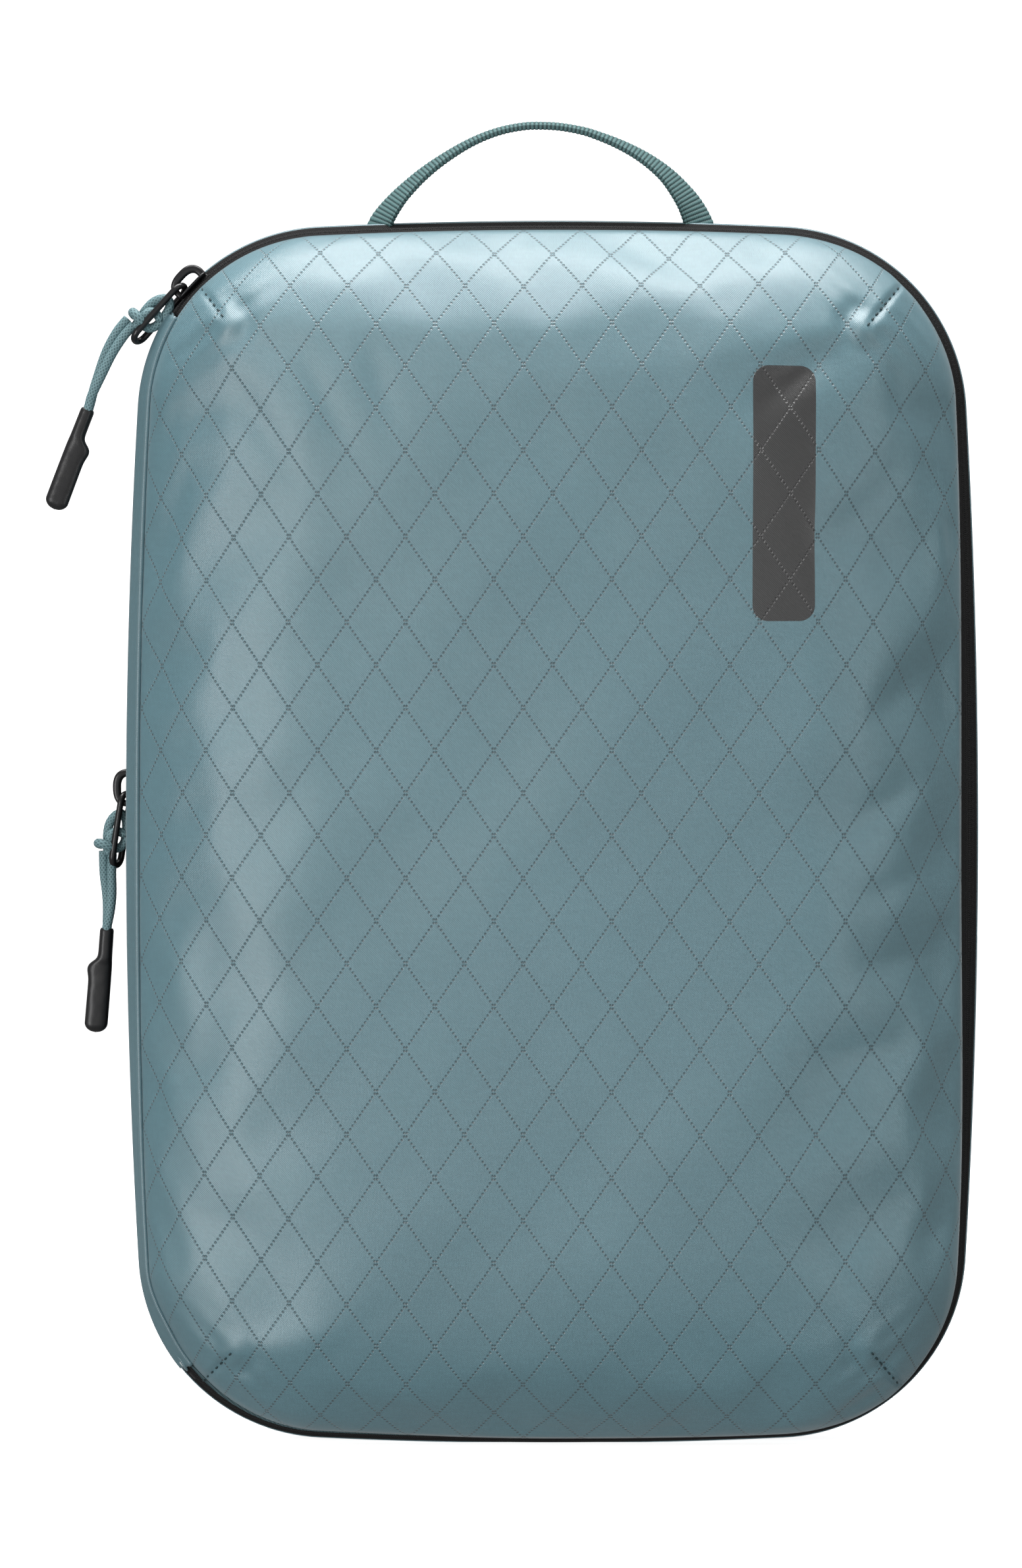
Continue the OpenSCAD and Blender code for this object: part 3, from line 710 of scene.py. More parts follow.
def slider_grids():
    """Two plates, the post, the side flange and the bridge, in the slider's own frame."""
    top = slab(5.5 * MM, 3.9 * MM, 1.5 * MM, 2.35 * MM, 0.35 * MM, 0.12)
    under = slab(5.5 * MM, 3.9 * MM, -2.4 * MM, -1.7 * MM, 0.3 * MM, 0.12)
    post = slab(1.3 * MM, 0.5 * MM, -1.9 * MM, 1.7 * MM, 0.1 * MM)
    post[..., 2] -= 4.0 * MM
    upper_lip, under_lip = [
        bar(np.array([(out, 3.5, s) for s in np.linspace(-4.6, 4.6, 24)]) * MM,
            0.32 * MM, 0.45 * MM) for out in (1.3, -1.3)]
    outer, _ = smooth_path([(1.9, 0, -5.5), (4.4, 0, -5.4), (6.4, 0, -4.3), (7.4, 0, -2.2),
                            (7.6, 0, 0.6), (7.2, 0, 3), (6.1, 0, 4.8), (4.4, 0, 5.5),
                            (1.9, 0, 5.6)], 48, 1)
    inner, _ = smooth_path([(1.9, 0, -3.2), (3.6, 0, -3.2), (4.6, 0, -2.5), (5.1, 0, -1.2),
                            (5.1, 0, 0.6), (5.0, 0, 2.2), (4.5, 0, 3.2), (3.5, 0, 3.8),
                            (1.9, 0, 3.9)], 48, 1)
    half_thick = np.linalg.norm(outer - inner, axis=1) / 2
    bridge = bar((outer + inner) / 2 * MM, 1.45 * MM, half_thick * MM)
    return [(grid, False) for grid in (top, under, post, upper_lip, under_lip, bridge)]


def ring_grid():
    """A long oval of bar: two half circles joined by straights, a little fatter at its foot."""
    length, width, wire = 23.3 * MM, 7.6 * MM, 1.9 * MM
    r = (width - wire) / 2
    straight = length - width
    total = 2 * np.pi * r + 2 * straight
    run = np.linspace(0, total, 150, endpoint=False)
    half = np.pi * r
    y = np.select([run < half, run < half + straight, run < 2 * half + straight],
                  [r * np.cos(run / r), -r, -r * np.cos((run - half - straight) / r)], r)
    z = np.select([run < half, run < half + straight, run < 2 * half + straight],
                  [r - r * np.sin(run / r), r + run - half,
                   r + straight + r * np.sin((run - half - straight) / r)],
                  r + straight - (run - 2 * half - straight))
    line = np.stack([0 * y, y, z], 1)
    ahead = unit(np.roll(line, -1, 0) - np.roll(line, 1, 0))
    out = np.broadcast_to((1.0, 0.0, 0.0), ahead.shape)
    side = np.cross(ahead, out)
    angle = np.linspace(0, 2 * np.pi, 20, endpoint=False)[None, :]
    wire_half = (wire / 2 * (1 + 0.12 * (z / length) ** 2))[:, None, None]
    points = (line[:, None] + wire_half * np.cos(angle)[..., None] * out[:, None]
              + wire / 2 * np.sin(angle)[..., None] * side[:, None])
    return [(twisted(points, 24), True)]


for pull, (on_slider, on_ring) in SLIDERS.items():
    slider = joined(f"{pull}_slider_cast", slider_grids(), on_slider)
    dress(slider, hardware, f"{pull}_slider_body", [f"{pull}_slider"])
    ring = joined(f"{pull}_ring_bent", ring_grid(), on_ring)
    dress(ring, hardware, f"{pull}_ring_body", [f"{pull}_ring"])
print("sliders and rings painted")

# %% [markdown]
# ## The cloth finish
# The panels are a fine twill with a diamond lattice of needled dots. The lattice is worked out
# on the map in metres: two numbers say how far a place is along each family of lines, and a
# dot lies wherever one number is whole and the other is at a half of a twelfth. Each dot is a
# tiny crater that sparkles where light skims over it, and its colour is painted darker as
# painted shade in the crater, so it looks dark face on.

# %% Twill with dotted diamonds
DIAMOND_W, DIAMOND_H = 16.9 * MM, 24.5 * MM
DOTS_PER_SIDE = 12
TWILL_PITCH = 0.45 * MM
CLOTH_ROUGHNESS = 0.45


def wrapped(finish, value, offset=0.0):
    """Distance of a value to the nearest whole number plus an offset."""
    moved = finish.maths("SUBTRACT", value, offset)
    return finish.maths("SUBTRACT", moved, finish.maths("ROUND", moved))


def dot_distance(finish, along, across):
    """Distance in metres to the nearest dot of one family of lines."""
    twelfth = finish.times(along, DOTS_PER_SIDE)
    a = finish.maths("DIVIDE", wrapped(finish, twelfth, 0.5), DOTS_PER_SIDE)
    b = wrapped(finish, across)
    x = finish.times(finish.maths("SUBTRACT", a, b), DIAMOND_W / 2)
    z = finish.times(finish.plus(a, b), DIAMOND_H / 2)
    return finish.maths("SQRT", finish.plus(finish.times(x, x), finish.times(z, z)))


def twill_finish(name, colour, dots=True, label=None):
    """Fine twill, with the dotted lattice and a plain printed bar if asked."""
    finish = Finish(name, colour, CLOTH_ROUGHNESS, IOR=1.66, Specular_IOR_Level=0.93,
                    Sheen_Weight=0.25,
                    Sheen_Roughness=0.35)
    u, v, _ = finish.place("UV")
    cloud = finish.noise(60 * MM, 2, "UV")
    slub = finish.noise(1.1 * MM, 2, "UV", (0.25, 1, 1))
    yarn = finish.noise(0.5 * MM, 1, "UV", (1, 0.18, 1))
    wave = finish.ramp(finish.stripes(finish.plus(u, v), TWILL_PITCH * 1.414), -1, 1)
    tone = finish.plus(finish.times(cloud, 0.35), finish.times(slub, 0.3),
                       finish.times(yarn, 0.35))
    base = finish.mix(finish.ramp(tone, 0.3, 0.7), shade(colour, 0.9), shade(colour, 1.1))
    base = finish.mix(finish.times(wave, 0.35), base, shade(colour, 0.8))
    finish.bump(wave, 0.035 * MM)
    finish.bump(yarn, 0.03 * MM)
    if dots:
        wide, high = (finish.maths("DIVIDE", u, DIAMOND_W),
                      finish.maths("DIVIDE", v, DIAMOND_H))
        p, q = finish.plus(wide, high), finish.maths("SUBTRACT", high, wide)
        near = finish.maths("MINIMUM", dot_distance(finish, p, q), dot_distance(finish, q, p))
        # Painted shade: each dot's crater is coloured darker to stand in for the shade inside it.
        painted_pit_shade = finish.ramp(near, 0.20 * MM, 0.46 * MM, 1, 0)
        base = finish.mix(finish.times(painted_pit_shade, 0.85), base, shade(colour, 0.28))
        finish.bump(finish.ramp(near, 0.1 * MM, 0.5 * MM, 0, 1), 0.16 * MM)
    if label:
        bend = (label[0][1] - label[0][0]) / 4
        over = [finish.maths("MAXIMUM", finish.maths("SUBTRACT", finish.maths(
            "ABSOLUTE", finish.maths("SUBTRACT", at, (low + high) / 2)),
            (high - low) / 2 - bend), 0.0) for at, (low, high) in zip((u, v), label)]
        over = finish.maths("SQRT", finish.plus(*[finish.times(o, o) for o in over]))
        inside = finish.maths("LESS_THAN", over, bend)
        base = finish.mix(inside, base, (0.003, 0.003, 0.0035, 1))
        finish.feed(finish.shader.inputs["Roughness"],
                    finish.maths("SUBTRACT", CLOTH_ROUGHNESS, finish.times(inside, 0.08)))
    finish.colour(base)
    return finish


LID_CLOTH = (0.100, 0.224, 0.268)
SHELL_CLOTH = (0.092, 0.196, 0.232)
LABEL_BOX = ((57 * MM, 75 * MM), (61.5 * MM, 134.5 * MM))
lid_finish = twill_finish("lid_fabric", LID_CLOTH, label=LABEL_BOX)
back_finish = twill_finish("back_fabric", SHELL_CLOTH)
shell_finish = twill_finish("shell_fabric", SHELL_CLOTH, dots=False)
print("three twills")

# %% [markdown]
# ## A grid that fits the outline
# A panel needs square cells in its middle and a clean edge all round. A Coons patch gives
# both: four stretches of the outline are its sides, and each inside point is the blend of the
# four, less the blend of the corners. The patch's corners are put where the darts are sewn, so
# the cells lie along the puckers, and the rows are closer together near the edge.

# %% Panel grid and its distance from the edge
DART_STEPS = (12.95, 39.05, 64.95, 91.05)


def crowded(count, ends):
    """Numbers from 0 to 1, closer together near both ends: t - k sin(2 pi t) / (2 pi)."""
    t = np.linspace(0, 1, count)
    return t - ends * np.sin(2 * np.pi * t) / (2 * np.pi)


def panel_grid(columns, rows, inset_x, inset_z, shift):
    """Coons patch inside the outline: side blends plus end blends minus the corner blend."""
    ul, ur, lr, ll = DART_STEPS
    u, v = crowded(columns, 0.5), crowded(rows, 0.5)

    def side(first, last, shares):
        steps, _ = even_steps(first, last, shares)
        x, z, _, _ = rim(steps, inset_x, inset_z, shift)
        return np.stack([x, z], -1)

    bottom = side(ll, lr, u)[:, None]
    top = side(ul, ur, u)[:, None]
    left = side(ll, ul + ALL_STEPS, v)[None]
    right = side(lr, ur, v)[None]
    s, t = u[:, None, None], v[None, :, None]
    corners = ((1 - s) * (1 - t) * bottom[0, 0] + s * (1 - t) * bottom[-1, 0]
               + (1 - s) * t * top[0, 0] + s * t * top[-1, 0])
    grid = (1 - t) * bottom + t * top + (1 - s) * left + s * right - corners
    return grid[..., 0], grid[..., 1]


def edge_distance(x, z, inset_x, inset_z, shift):
    """Distance inwards from the outline, the direction outwards, and the mitred distance, at
    points inside it. The first is the radius of the nearest arc less the distance to that
    arc's centre. The mitred one is the smaller of the distances to the side and the end,
    rounded off where they are nearly equal, and more so further in."""
    w, h, r, cx, cz, rs, rt = arc_sizes(inset_x, inset_z)
    s, t = math.atan2(cz, cx - w + rs), math.atan2(cz - h + rt, cx)
    px, pz = np.abs(x - shift[0]), np.abs(z - MID_Z - shift[1])
    on_side = np.arctan2(pz, px - w + rs) <= s
    on_end = np.arctan2(pz - h + rt, px) >= t
    d_side = rs - np.hypot(px - w + rs, pz)
    d_end = rt - np.hypot(px, pz - h + rt)
    d_corner = r - np.hypot(px - cx, pz - cz)
    side_wins = on_side & (~on_end | (d_side <= d_end))
    d = np.where(side_wins, d_side, np.where(on_end, d_end, d_corner))
    ox = np.where(side_wins, px - w + rs, np.where(on_end, px, px - cx))
    oz = np.where(side_wins, pz, np.where(on_end, pz - h + rt, pz - cz))
    size = np.hypot(ox, oz)
    nearer = np.minimum(d_side, d_end)
    soft = 5 * MM + 0.7 * nearer
    mitred = nearer - soft / 4 * np.clip(1 - np.abs(d_side - d_end) / soft, 0, 1) ** 2
    if shift != (0.0, 0.0):
        share = np.clip((np.arctan2(pz - cz, px - cx) - s) / (t - s), 0, 1)
        step = np.where(side_wins, 52 - 6 * np.arctan2(pz, px - w + rs) / s,
                        np.where(on_end, 26 + 6 * (np.pi / 2 - np.arctan2(pz - h + rt, px))
                                 / (np.pi / 2 - t), 46 - 14 * share))
        step = np.where(x < shift[0], 52 - step, step)
        step = np.where(z - MID_Z < shift[1], 104 - step, step)
        moved = wander(step) * np.clip(1 - d / (30 * MM), 0, 1)
        d, mitred = d - moved, mitred - moved
    return (np.maximum(d, 0), ox / size * np.sign(x - shift[0]),
            oz / size * np.sign(z - MID_Z - shift[1]), np.maximum(mitred, 0))


# %% [markdown]
# ## Relief of the lid
# From its seam the lid climbs steeply and then levels out. Four darts take up the spare cloth
# at the corners: each is a sewn groove that ends in a few soft puckers. Cloth that is filled
# by hand also keeps slow swells, which are a sum of a few long waves, and creases, which are
# many short waves drawn with a fixed seed. A cloth simulation then settles the whole lid.

# %% Relief functions
LID_INSET = (4.75 * MM, 2.95 * MM)
LID_SHIFT = (-0.75 * MM, -0.55 * MM)
NO_INSET = NO_SHIFT = (0.0, 0.0)
CLOTH_T = 1.0 * MM

# A slope's rise, its reach inwards, and the power that shapes it
LID_SLOPE = (22.5 * MM, 56 * MM, 0.593)
BACK_SLOPE = (16 * MM, 46 * MM, 0.62)

# Each dart: the way it points from the middle, how far it reaches in, how hard it pulls, how
# far it leans, and which side of its tip the dimple lies on
DARTS = [(-1, 1, 12.5 * MM, 1.0, -8, -70), (1, 1, 16.5 * MM, 1.3, 5, 60),
         (1, -1, 14.5 * MM, 1.0, -6, -110), (-1, -1, 14 * MM, 1.0, 3, 150)]


def bell(value, width):
    return np.exp(-(value / width) ** 2)


def mitred_dome(d, mitred, rise, reach, power):
    """Height above the seam. The walls are those of a hipped roof, rise * (1 - (1 - t)^2.5) ^
    power with t the mitred distance over the reach, brought down to the round seam by
    1 - exp(-d / 7 mm)."""
    t = np.clip(mitred / reach, 0, 1)
    wall = rise * (1 - (1 - t) ** 2.5) ** power
    down = (1 - np.exp(-d / (7 * MM))) / (1 - np.exp(-np.maximum(mitred, 0.05 * MM) / (7 * MM)))
    return wall * np.minimum(down, 1)


def dart_line(dart, inset, shift):
    """A dart's outer end, on the corner's arc, and the way it points away from the middle."""
    sx, sz, _, _, lean, _ = dart
    _, _, r, cx, cz, _, _ = arc_sizes(*inset)
    away = math.atan2(sz, sx)
    start = (sx * cx + shift[0] + r * math.cos(away),
             sz * cz + shift[1] + MID_Z + r * math.sin(away))
    return start, away + math.radians(lean)


def dart_frame(x, z, dart, inset, shift):
    """Places measured from a dart's outer end: inwards along the stitches, and across."""
    start, way = dart_line(dart, inset, shift)
    inwards = -(x - start[0]) * math.cos(way) - (z - start[1]) * math.sin(way)
    across = -(x - start[0]) * math.sin(way) + (z - start[1]) * math.cos(way)
    return inwards, across


def dart_relief(x, z, inset, shift, scale=1.0):
    """How far the sewn darts lower the dome, in metres. The stitches pull a narrow groove
    into a raised welt. Beyond the tip the spare cloth pops out as a small lobe with a dimple
    round one side of it. Short puckers run across the stitches, and two shoulders run on from
    the tip, one level and one upright, where the walls of the lid turn into its face."""
    depth = np.zeros_like(x)
    for dart in DARTS:
        _, _, reach, pull, _, side = dart
        inwards, across = dart_frame(x, z, dart, inset, shift)
        sewn = 1 / (1 + np.exp((inwards - reach) / (0.8 * MM))) * (inwards > -3 * MM)
        groove = 1.25 * MM * bell(across, 0.8 * MM) - 0.75 * MM * bell(across, 5 * MM)
        tip_in, tip_out = inwards - reach - 1.5 * MM, across
        radius = np.hypot(tip_in, tip_out)
        facing = 0.5 + 0.5 * np.cos(np.arctan2(tip_out, tip_in) - math.radians(side))
        dimple = 1.3 * MM * bell(radius - 6 * MM, 3.2 * MM) * facing
        lobe = -0.7 * MM * bell(radius, 4 * MM)
        ripple = np.cos(2 * np.pi * inwards / (6.4 * MM) + 0.05 * across / MM + side)
        puckers = 0.26 * MM * ripple * bell(inwards - 0.8 * reach, 10 * MM)
        puckers *= bell(across, 17 * MM) * (1 - bell(across, 3 * MM))
        shoulders = 0
        for turn, high in ((45, 1.1), (-45, 0.8)):
            c, s = math.cos(math.radians(turn)), math.sin(math.radians(turn))
            ahead, aside = tip_in * c + tip_out * s, tip_out * c - tip_in * s
            start = 1 / (1 + np.exp(-ahead / (2.5 * MM)))
            shoulders -= high * MM * start * np.exp(-np.abs(ahead) / (30 * MM)) * bell(
                aside + 0.1 * ahead, 5.5 * MM)
        near = np.clip((inwards + 4 * MM) / (4 * MM), 0, 1)
        depth += near * pull * scale * (groove * sewn + dimple + lobe + puckers + shoulders)
    return depth


def swells(x, z):
    """Slow swells of filled cloth: a sum of long waves."""
    waves = [(0.9, 47, 83, 0.4), (0.6, -31, 59, 2.1), (0.5, 88, -41, 1.3), (0.42, 27, 33, 4.0),
             (0.3, -23, 29, 0.7), (0.22, 19, -17, 2.8)]
    total = np.zeros_like(x)
    for size, wx, wz, phase in waves:
        total += size * np.sin(x / (wx * MM) * 2.4 + z / (wz * MM) * 2.4 + phase)
    return total * 0.3 * MM


def creases(x, z, d):
    """Creases of handled cloth: a sum of short waves in drawn directions, each as high as
    its length to the power 1.4, strongest 22 mm in from the seam."""
    draw = np.random.default_rng(11)
    total = np.zeros_like(x)
    for _ in range(26):
        length, way, phase = draw.uniform(13, 44), draw.uniform(0, np.pi), draw.uniform(0, 6.28)
        turn = 2 * np.pi / (length * MM) * (x * math.cos(way) + z * math.sin(way)) + phase
        total += (length / 40) ** 1.4 * np.sin(turn)
    return total * 0.07 * MM * (0.3 + bell(d - 22 * MM, 22 * MM))


def side_dents(x, z):
    """The soft dents that handling leaves, most of them on the right and at the upper corners.
    Each is its place, length, width, turn in degrees and depth."""
    dents = [(104, 42, 15, 4.5, 34, 0.9), (99, 10, 15, 4, 28, 0.9), (101, -14, 12, 3.8, 20, 0.8),
             (104, -36, 13, 4, 12, 0.9), (92, -62, 17, 6, 10, 0.7), (-60, -146, 17, 5, 38, 0.5),
             (70, 133, 14, 5, 38, 1.2), (-84, 118, 17, 4.5, -56, 1.1), (-66, 126, 15, 4, -62, 0.9),
             (-50, 131, 12, 4, -70, 0.7), (-103, 60, 22, 6, 78, 0.5), (84, -128, 19, 5, -48, 0.5),
             (110, 84, 20, 4, 84, 0.6), (88, 92, 12, 5, 50, 0.6), (-101, -40, 26, 6, 82, 0.4)]
    total = np.zeros_like(x)
    for cx, cz, long, wide, degrees, deep in dents:
        a = math.radians(degrees)
        dx, dz = x - cx * MM, z - MID_Z - cz * MM
        along = dx * math.cos(a) + dz * math.sin(a)
        across = -dx * math.sin(a) + dz * math.cos(a)
        total += deep * MM * bell(along, long * MM) * bell(across, wide * MM)
    return total


def lid_height(x, z, d, mitred):
    """Height of the lid in front of its seam, before the cloth is let go. A slow crown, a
    quarter of a sine from the left side to past the middle, makes the lid fullest there."""
    smooth = mitred_dome(d, mitred, *LID_SLOPE)
    crown = 5 * MM * np.sin(np.pi / 2 * np.clip((x + HALF_W) / (150 * MM), 0, 1.3))
    crown = crown * (1 - np.exp(-d / (26 * MM)))
    loose = 1 - bell(d, 12 * MM)
    smooth = smooth - dart_relief(x, z, LID_INSET, LID_SHIFT) * np.clip(d / (2 * MM), 0, 1)
    slack = swells(x, z - MID_Z) + creases(x, z - MID_Z, d) - side_dents(x, z)
    return smooth + crown + loose * slack


def slope_excess(rise, reach, power):
    """How much longer the cloth is than its shadow, from the level part out to distance d."""
    d = np.linspace(0, reach, 500)
    y = mitred_dome(d, d, rise, reach, power)
    piece = np.hypot(np.diff(d), np.diff(y)) - np.diff(d)
    return d, np.concatenate([np.cumsum(piece[::-1])[::-1], [0]])


def flat_map(x, z, d, out_x, out_z, slope):
    """Where each point lay on the flat cloth: pushed outwards by the spare length."""
    spare = np.interp(d, *slope_excess(*slope))
    return x + out_x * spare, z - MID_Z + out_z * spare


def flat_cut(inset, slope):
    """Flat size of a panel between its seams, and its area: the outline, longer each way by
    twice the spare length of the slope, less the four round corners."""
    spare = slope_excess(*slope)[1][0]
    wide, high = 2 * (HALF_W - inset[0] + spare), 2 * (HALF_H - inset[1] + spare)
    corners = (4 - math.pi) * (CORNER_R - sum(inset) / 2 + spare) ** 2
    return (float(wide), float(high)), float(wide * high - corners)


# %% Lid panel
SETTLE_FRAMES, SETTLE_CAP, SETTLE_PRESSURE = 16, 5 * MM, 0.35


def let_go(piece):
    """Lets Blender's cloth settle on an open sheet whose rim is pinned, and returns how far
    each point moved, no further than the cap."""
    before = np.array([v.co for v in piece.data.vertices])
    rim_group = piece.vertex_groups.new(name="rim")
    mesh = bmesh.new()
    mesh.from_mesh(piece.data)
    edge = [v.index for v in mesh.verts if v.is_boundary]
    mesh.free()
    rim_group.add(edge, 1.0, "REPLACE")
    cloth = piece.modifiers.new("cloth", "CLOTH")
    settings = cloth.settings
    settings.quality = 6
    settings.mass = 0.12
    settings.tension_stiffness = settings.compression_stiffness = 25
    settings.shear_stiffness = 12
    settings.bending_stiffness = 2.5
    settings.vertex_group_mass = "rim"
    settings.use_pressure = True
    settings.uniform_pressure_force = SETTLE_PRESSURE
    settings.shrink_min = -0.012
    settings.effector_weights.gravity = 0
    cloth.point_cache.frame_end = SETTLE_FRAMES
    for number in range(1, SETTLE_FRAMES + 1):
        scene.frame_set(number)
    graph = bpy.context.evaluated_depsgraph_get()
    settled = piece.evaluated_get(graph).data
    after = np.array([v.co for v in settled.vertices])
    piece.modifiers.clear()
    scene.frame_set(1)
    move = after - before
    size = np.linalg.norm(move, axis=1, keepdims=True)
    return move * np.minimum(1, SETTLE_CAP / np.maximum(size, 1e-9))


def settled_moves(columns, rows, inset, shift, height, away):
    """Runs the cloth on a coarse copy of a panel. The result is a grid of moves, softened by
    two passes of a half share of each point's four neighbours, and less on the left half,
    where the spine holds the cloth taut."""
    x, z = panel_grid(columns, rows, *inset, shift)
    d, _, _, mitred = edge_distance(x, z, *inset, shift)
    points = np.stack([x, away(height(x, z, d, mitred)), z], -1)
    flat = np.zeros_like(x)
    sheet = surface("settling", points, flat, flat)
    moves = let_go(sheet).reshape(columns, rows, 3)
    bpy.data.objects.remove(sheet)
    for _ in range(2):
        middle = moves[1:-1, 1:-1]
        ring = moves[:-2, 1:-1] + moves[2:, 1:-1] + moves[1:-1, :-2] + moves[1:-1, 2:]
        moves[1:-1, 1:-1] = 0.5 * middle + 0.125 * ring
    firm = 0.55 + 0.4 / (1 + np.exp(-(x - 20 * MM) / (22 * MM)))
    return moves * firm[..., None]


def resample(grid, columns, rows):
    """Bilinear resampling of a grid of moves to more columns and rows."""
    i = np.linspace(0, grid.shape[0] - 1, columns)
    j = np.linspace(0, grid.shape[1] - 1, rows)
    i0 = np.minimum(i.astype(int), grid.shape[0] - 2)
    j0 = np.minimum(j.astype(int), grid.shape[1] - 2)
    fi, fj = (i - i0)[:, None, None], (j - j0)[None, :, None]
    a, b = grid[i0][:, j0], grid[i0 + 1][:, j0]
    c, e = grid[i0][:, j0 + 1], grid[i0 + 1][:, j0 + 1]
    return (1 - fi) * ((1 - fj) * a + fj * c) + fi * ((1 - fj) * b + fj * e)


def panel(name, columns, rows, inset, shift, height, away, slope, simulate):
    """One domed panel: a Coons patch raised by its height, then moved as the cloth settled."""
    x, z = panel_grid(columns, rows, *inset, shift)
    d, out_x, out_z, mitred = edge_distance(x, z, *inset, shift)
    points = np.stack([x, away(height(x, z, d, mitred)), z], -1)
    across, along = flat_map(x, z, d, out_x, out_z, slope)
    if simulate:
        moves = settled_moves(columns // 3, rows // 3, inset, shift, height, away)
        points += resample(moves, columns, rows)
        print(name, "settled by up to %.1f mm" % (np.abs(moves).max() / MM))
    points[..., 2] = np.maximum(points[..., 2], 0)
    if away(1.0) > away(0.0):
        points, across, along = points[::-1], across[::-1], along[::-1]
    return surface(name, points, across, along)


lid_panel = panel("lid_panel", 186, 246, LID_INSET, LID_SHIFT, lid_height,
                  lambda rise: SEAM_Y - rise, LID_SLOPE, True)
thicken(lid_panel, CLOTH_T)
dress(lid_panel, lid_finish, "lid", ["front_panel"])
lid_flat, lid_area = flat_cut(LID_INSET, LID_SLOPE)
print("lid panel", len(lid_panel.data.polygons), "quads")


# %% Back panel
def back_height(x, z, d, mitred):
    """A lower dome with a level middle, because the cube also lies on its back."""
    smooth = mitred_dome(d, mitred, *BACK_SLOPE)
    rolled = np.clip(d / (10 * MM), 0, 1) * (1 - np.clip((d - 34 * MM) / (12 * MM), 0, 1))
    darts = dart_relief(x, z, NO_INSET, NO_SHIFT, 0.5) * np.clip(d / (3 * MM), 0, 1)
    return smooth - darts + rolled * 0.6 * swells(-x, z - MID_Z)


back_panel = panel("back_panel_sewn", 150, 200, NO_INSET, NO_SHIFT, back_height,
                   lambda rise: BACK_Y + rise, BACK_SLOPE, False)
thicken(back_panel, CLOTH_T)
dress(back_panel, back_finish, "rear_shell", ["back_panel"])
back_flat, back_area = flat_cut(NO_INSET, BACK_SLOPE)
print("back panel", len(back_panel.data.polygons), "quads")

# %% [markdown]
# ## Bands, tapes and coils
# What runs round the cube is a flat section carried along the outline. A section is a short
# list of corners, each an inset and a depth, rounded by resampling. The lid's rail is not the
# outline's own, so each corner of a section says how far it follows the lid's seam.

# %% Sections carried round the outline
def carried(name, section, first, last, count, closed, relief=None):
    """A closed section carried along the outline. Each corner is (inset, depth, share), where
    the share says how far the point follows the lid seam's rail instead of the outline's. A
    relief function of the place along and the place across pushes points outwards."""
    shares = np.linspace(0, 1, count, endpoint=not closed)
    steps, length = even_steps(first, last, shares)
    section = np.asarray(section, float)
    m = len(section)
    inset = np.broadcast_to(section[:, 0], (count, m))
    follow = np.broadcast_to(section[:, 2], (count, m))
    run = np.broadcast_to((shares * length)[:, None], (count, m))
    if relief is not None:
        inset = inset - relief(run, np.arange(m)[None] / m)
    x0, z0, _, _ = rim(steps[:, None], inset, inset)
    x1, z1, _, _ = rim(steps[:, None], inset + LID_INSET[0], inset + LID_INSET[1], LID_SHIFT)
    x, z = (1 - follow) * x0 + follow * x1, (1 - follow) * z0 + follow * z1
    points = np.stack([x, np.broadcast_to(section[:, 1], (count, m)), z], -1)
    edge = np.linalg.norm(np.diff(section[:, :2], axis=0, append=section[:1, :2]), axis=1)
    across = np.broadcast_to(running(edge)[:-1], (count, m))
    piece = surface(name, points, across, run, loop_u=closed, loop_v=True, caps=not closed)
    return point_outwards(piece)


def rounded(corners, rounds=2):
    """Cuts the corners of a closed section: each pass puts points at a quarter and three
    quarters of every edge (Chaikin's rule)."""
    s = np.asarray(corners, float)
    for _ in range(rounds):
        nxt = np.roll(s, -1, 0)
        s = np.stack([0.75 * s + 0.25 * nxt, 0.25 * s + 0.75 * nxt], 1).reshape(-1, s.shape[1])
    return s


def ribbon(path, thickness):
    """A closed section of even thickness around an open path of (inset, depth, share)."""
    path = np.asarray(path, float)
    ahead = np.gradient(path[:, :2], axis=0)
    ahead /= np.linalg.norm(ahead, axis=1, keepdims=True)
    side = np.stack([ahead[:, 1], -ahead[:, 0], 0 * ahead[:, 0]], 1) * thickness / 2
    return np.vstack([path + side, (path - side)[::-1]])


print("sections ready")

# %% Side bands
BAND_COUNT = 420


def band(name, low, high, body, node):
    """A strip of twill between two seams, a little crowned between them."""
    middle = (low + high) / 2
    path = [(0.25 * MM, low, 0), (-0.05 * MM, low + 0.8 * MM, 0), (-0.28 * MM, middle, 0),
            (-0.05 * MM, high - 0.8 * MM, 0), (0.25 * MM, high, 0)]
    section = ribbon(smooth_path(path, 9)[0], 0.9 * MM) + (0.5 * MM, 0, 0)
    piece = carried(name, section, 0, ALL_STEPS, BAND_COUNT, True)
    return dress(piece, shell_finish, body, [node])


band("front_band_sewn", BAND_Y, COMP_FRONT_Y, "front_shell", "front_side_band")
band("rear_band_sewn", COMP_REAR_Y, BACK_Y, "rear_shell", "rear_side_band")
print("two side bands")

# %% [markdown]
# ## Zippers
# The zippers are the reversed kind: the coil is turned inwards, and what shows is two woven
# tapes that fold over it and meet in a pair of ridges. The tape is a thin ribbon. The ridges
# are bars with a rib for each tooth, about one and a quarter millimetres apart.

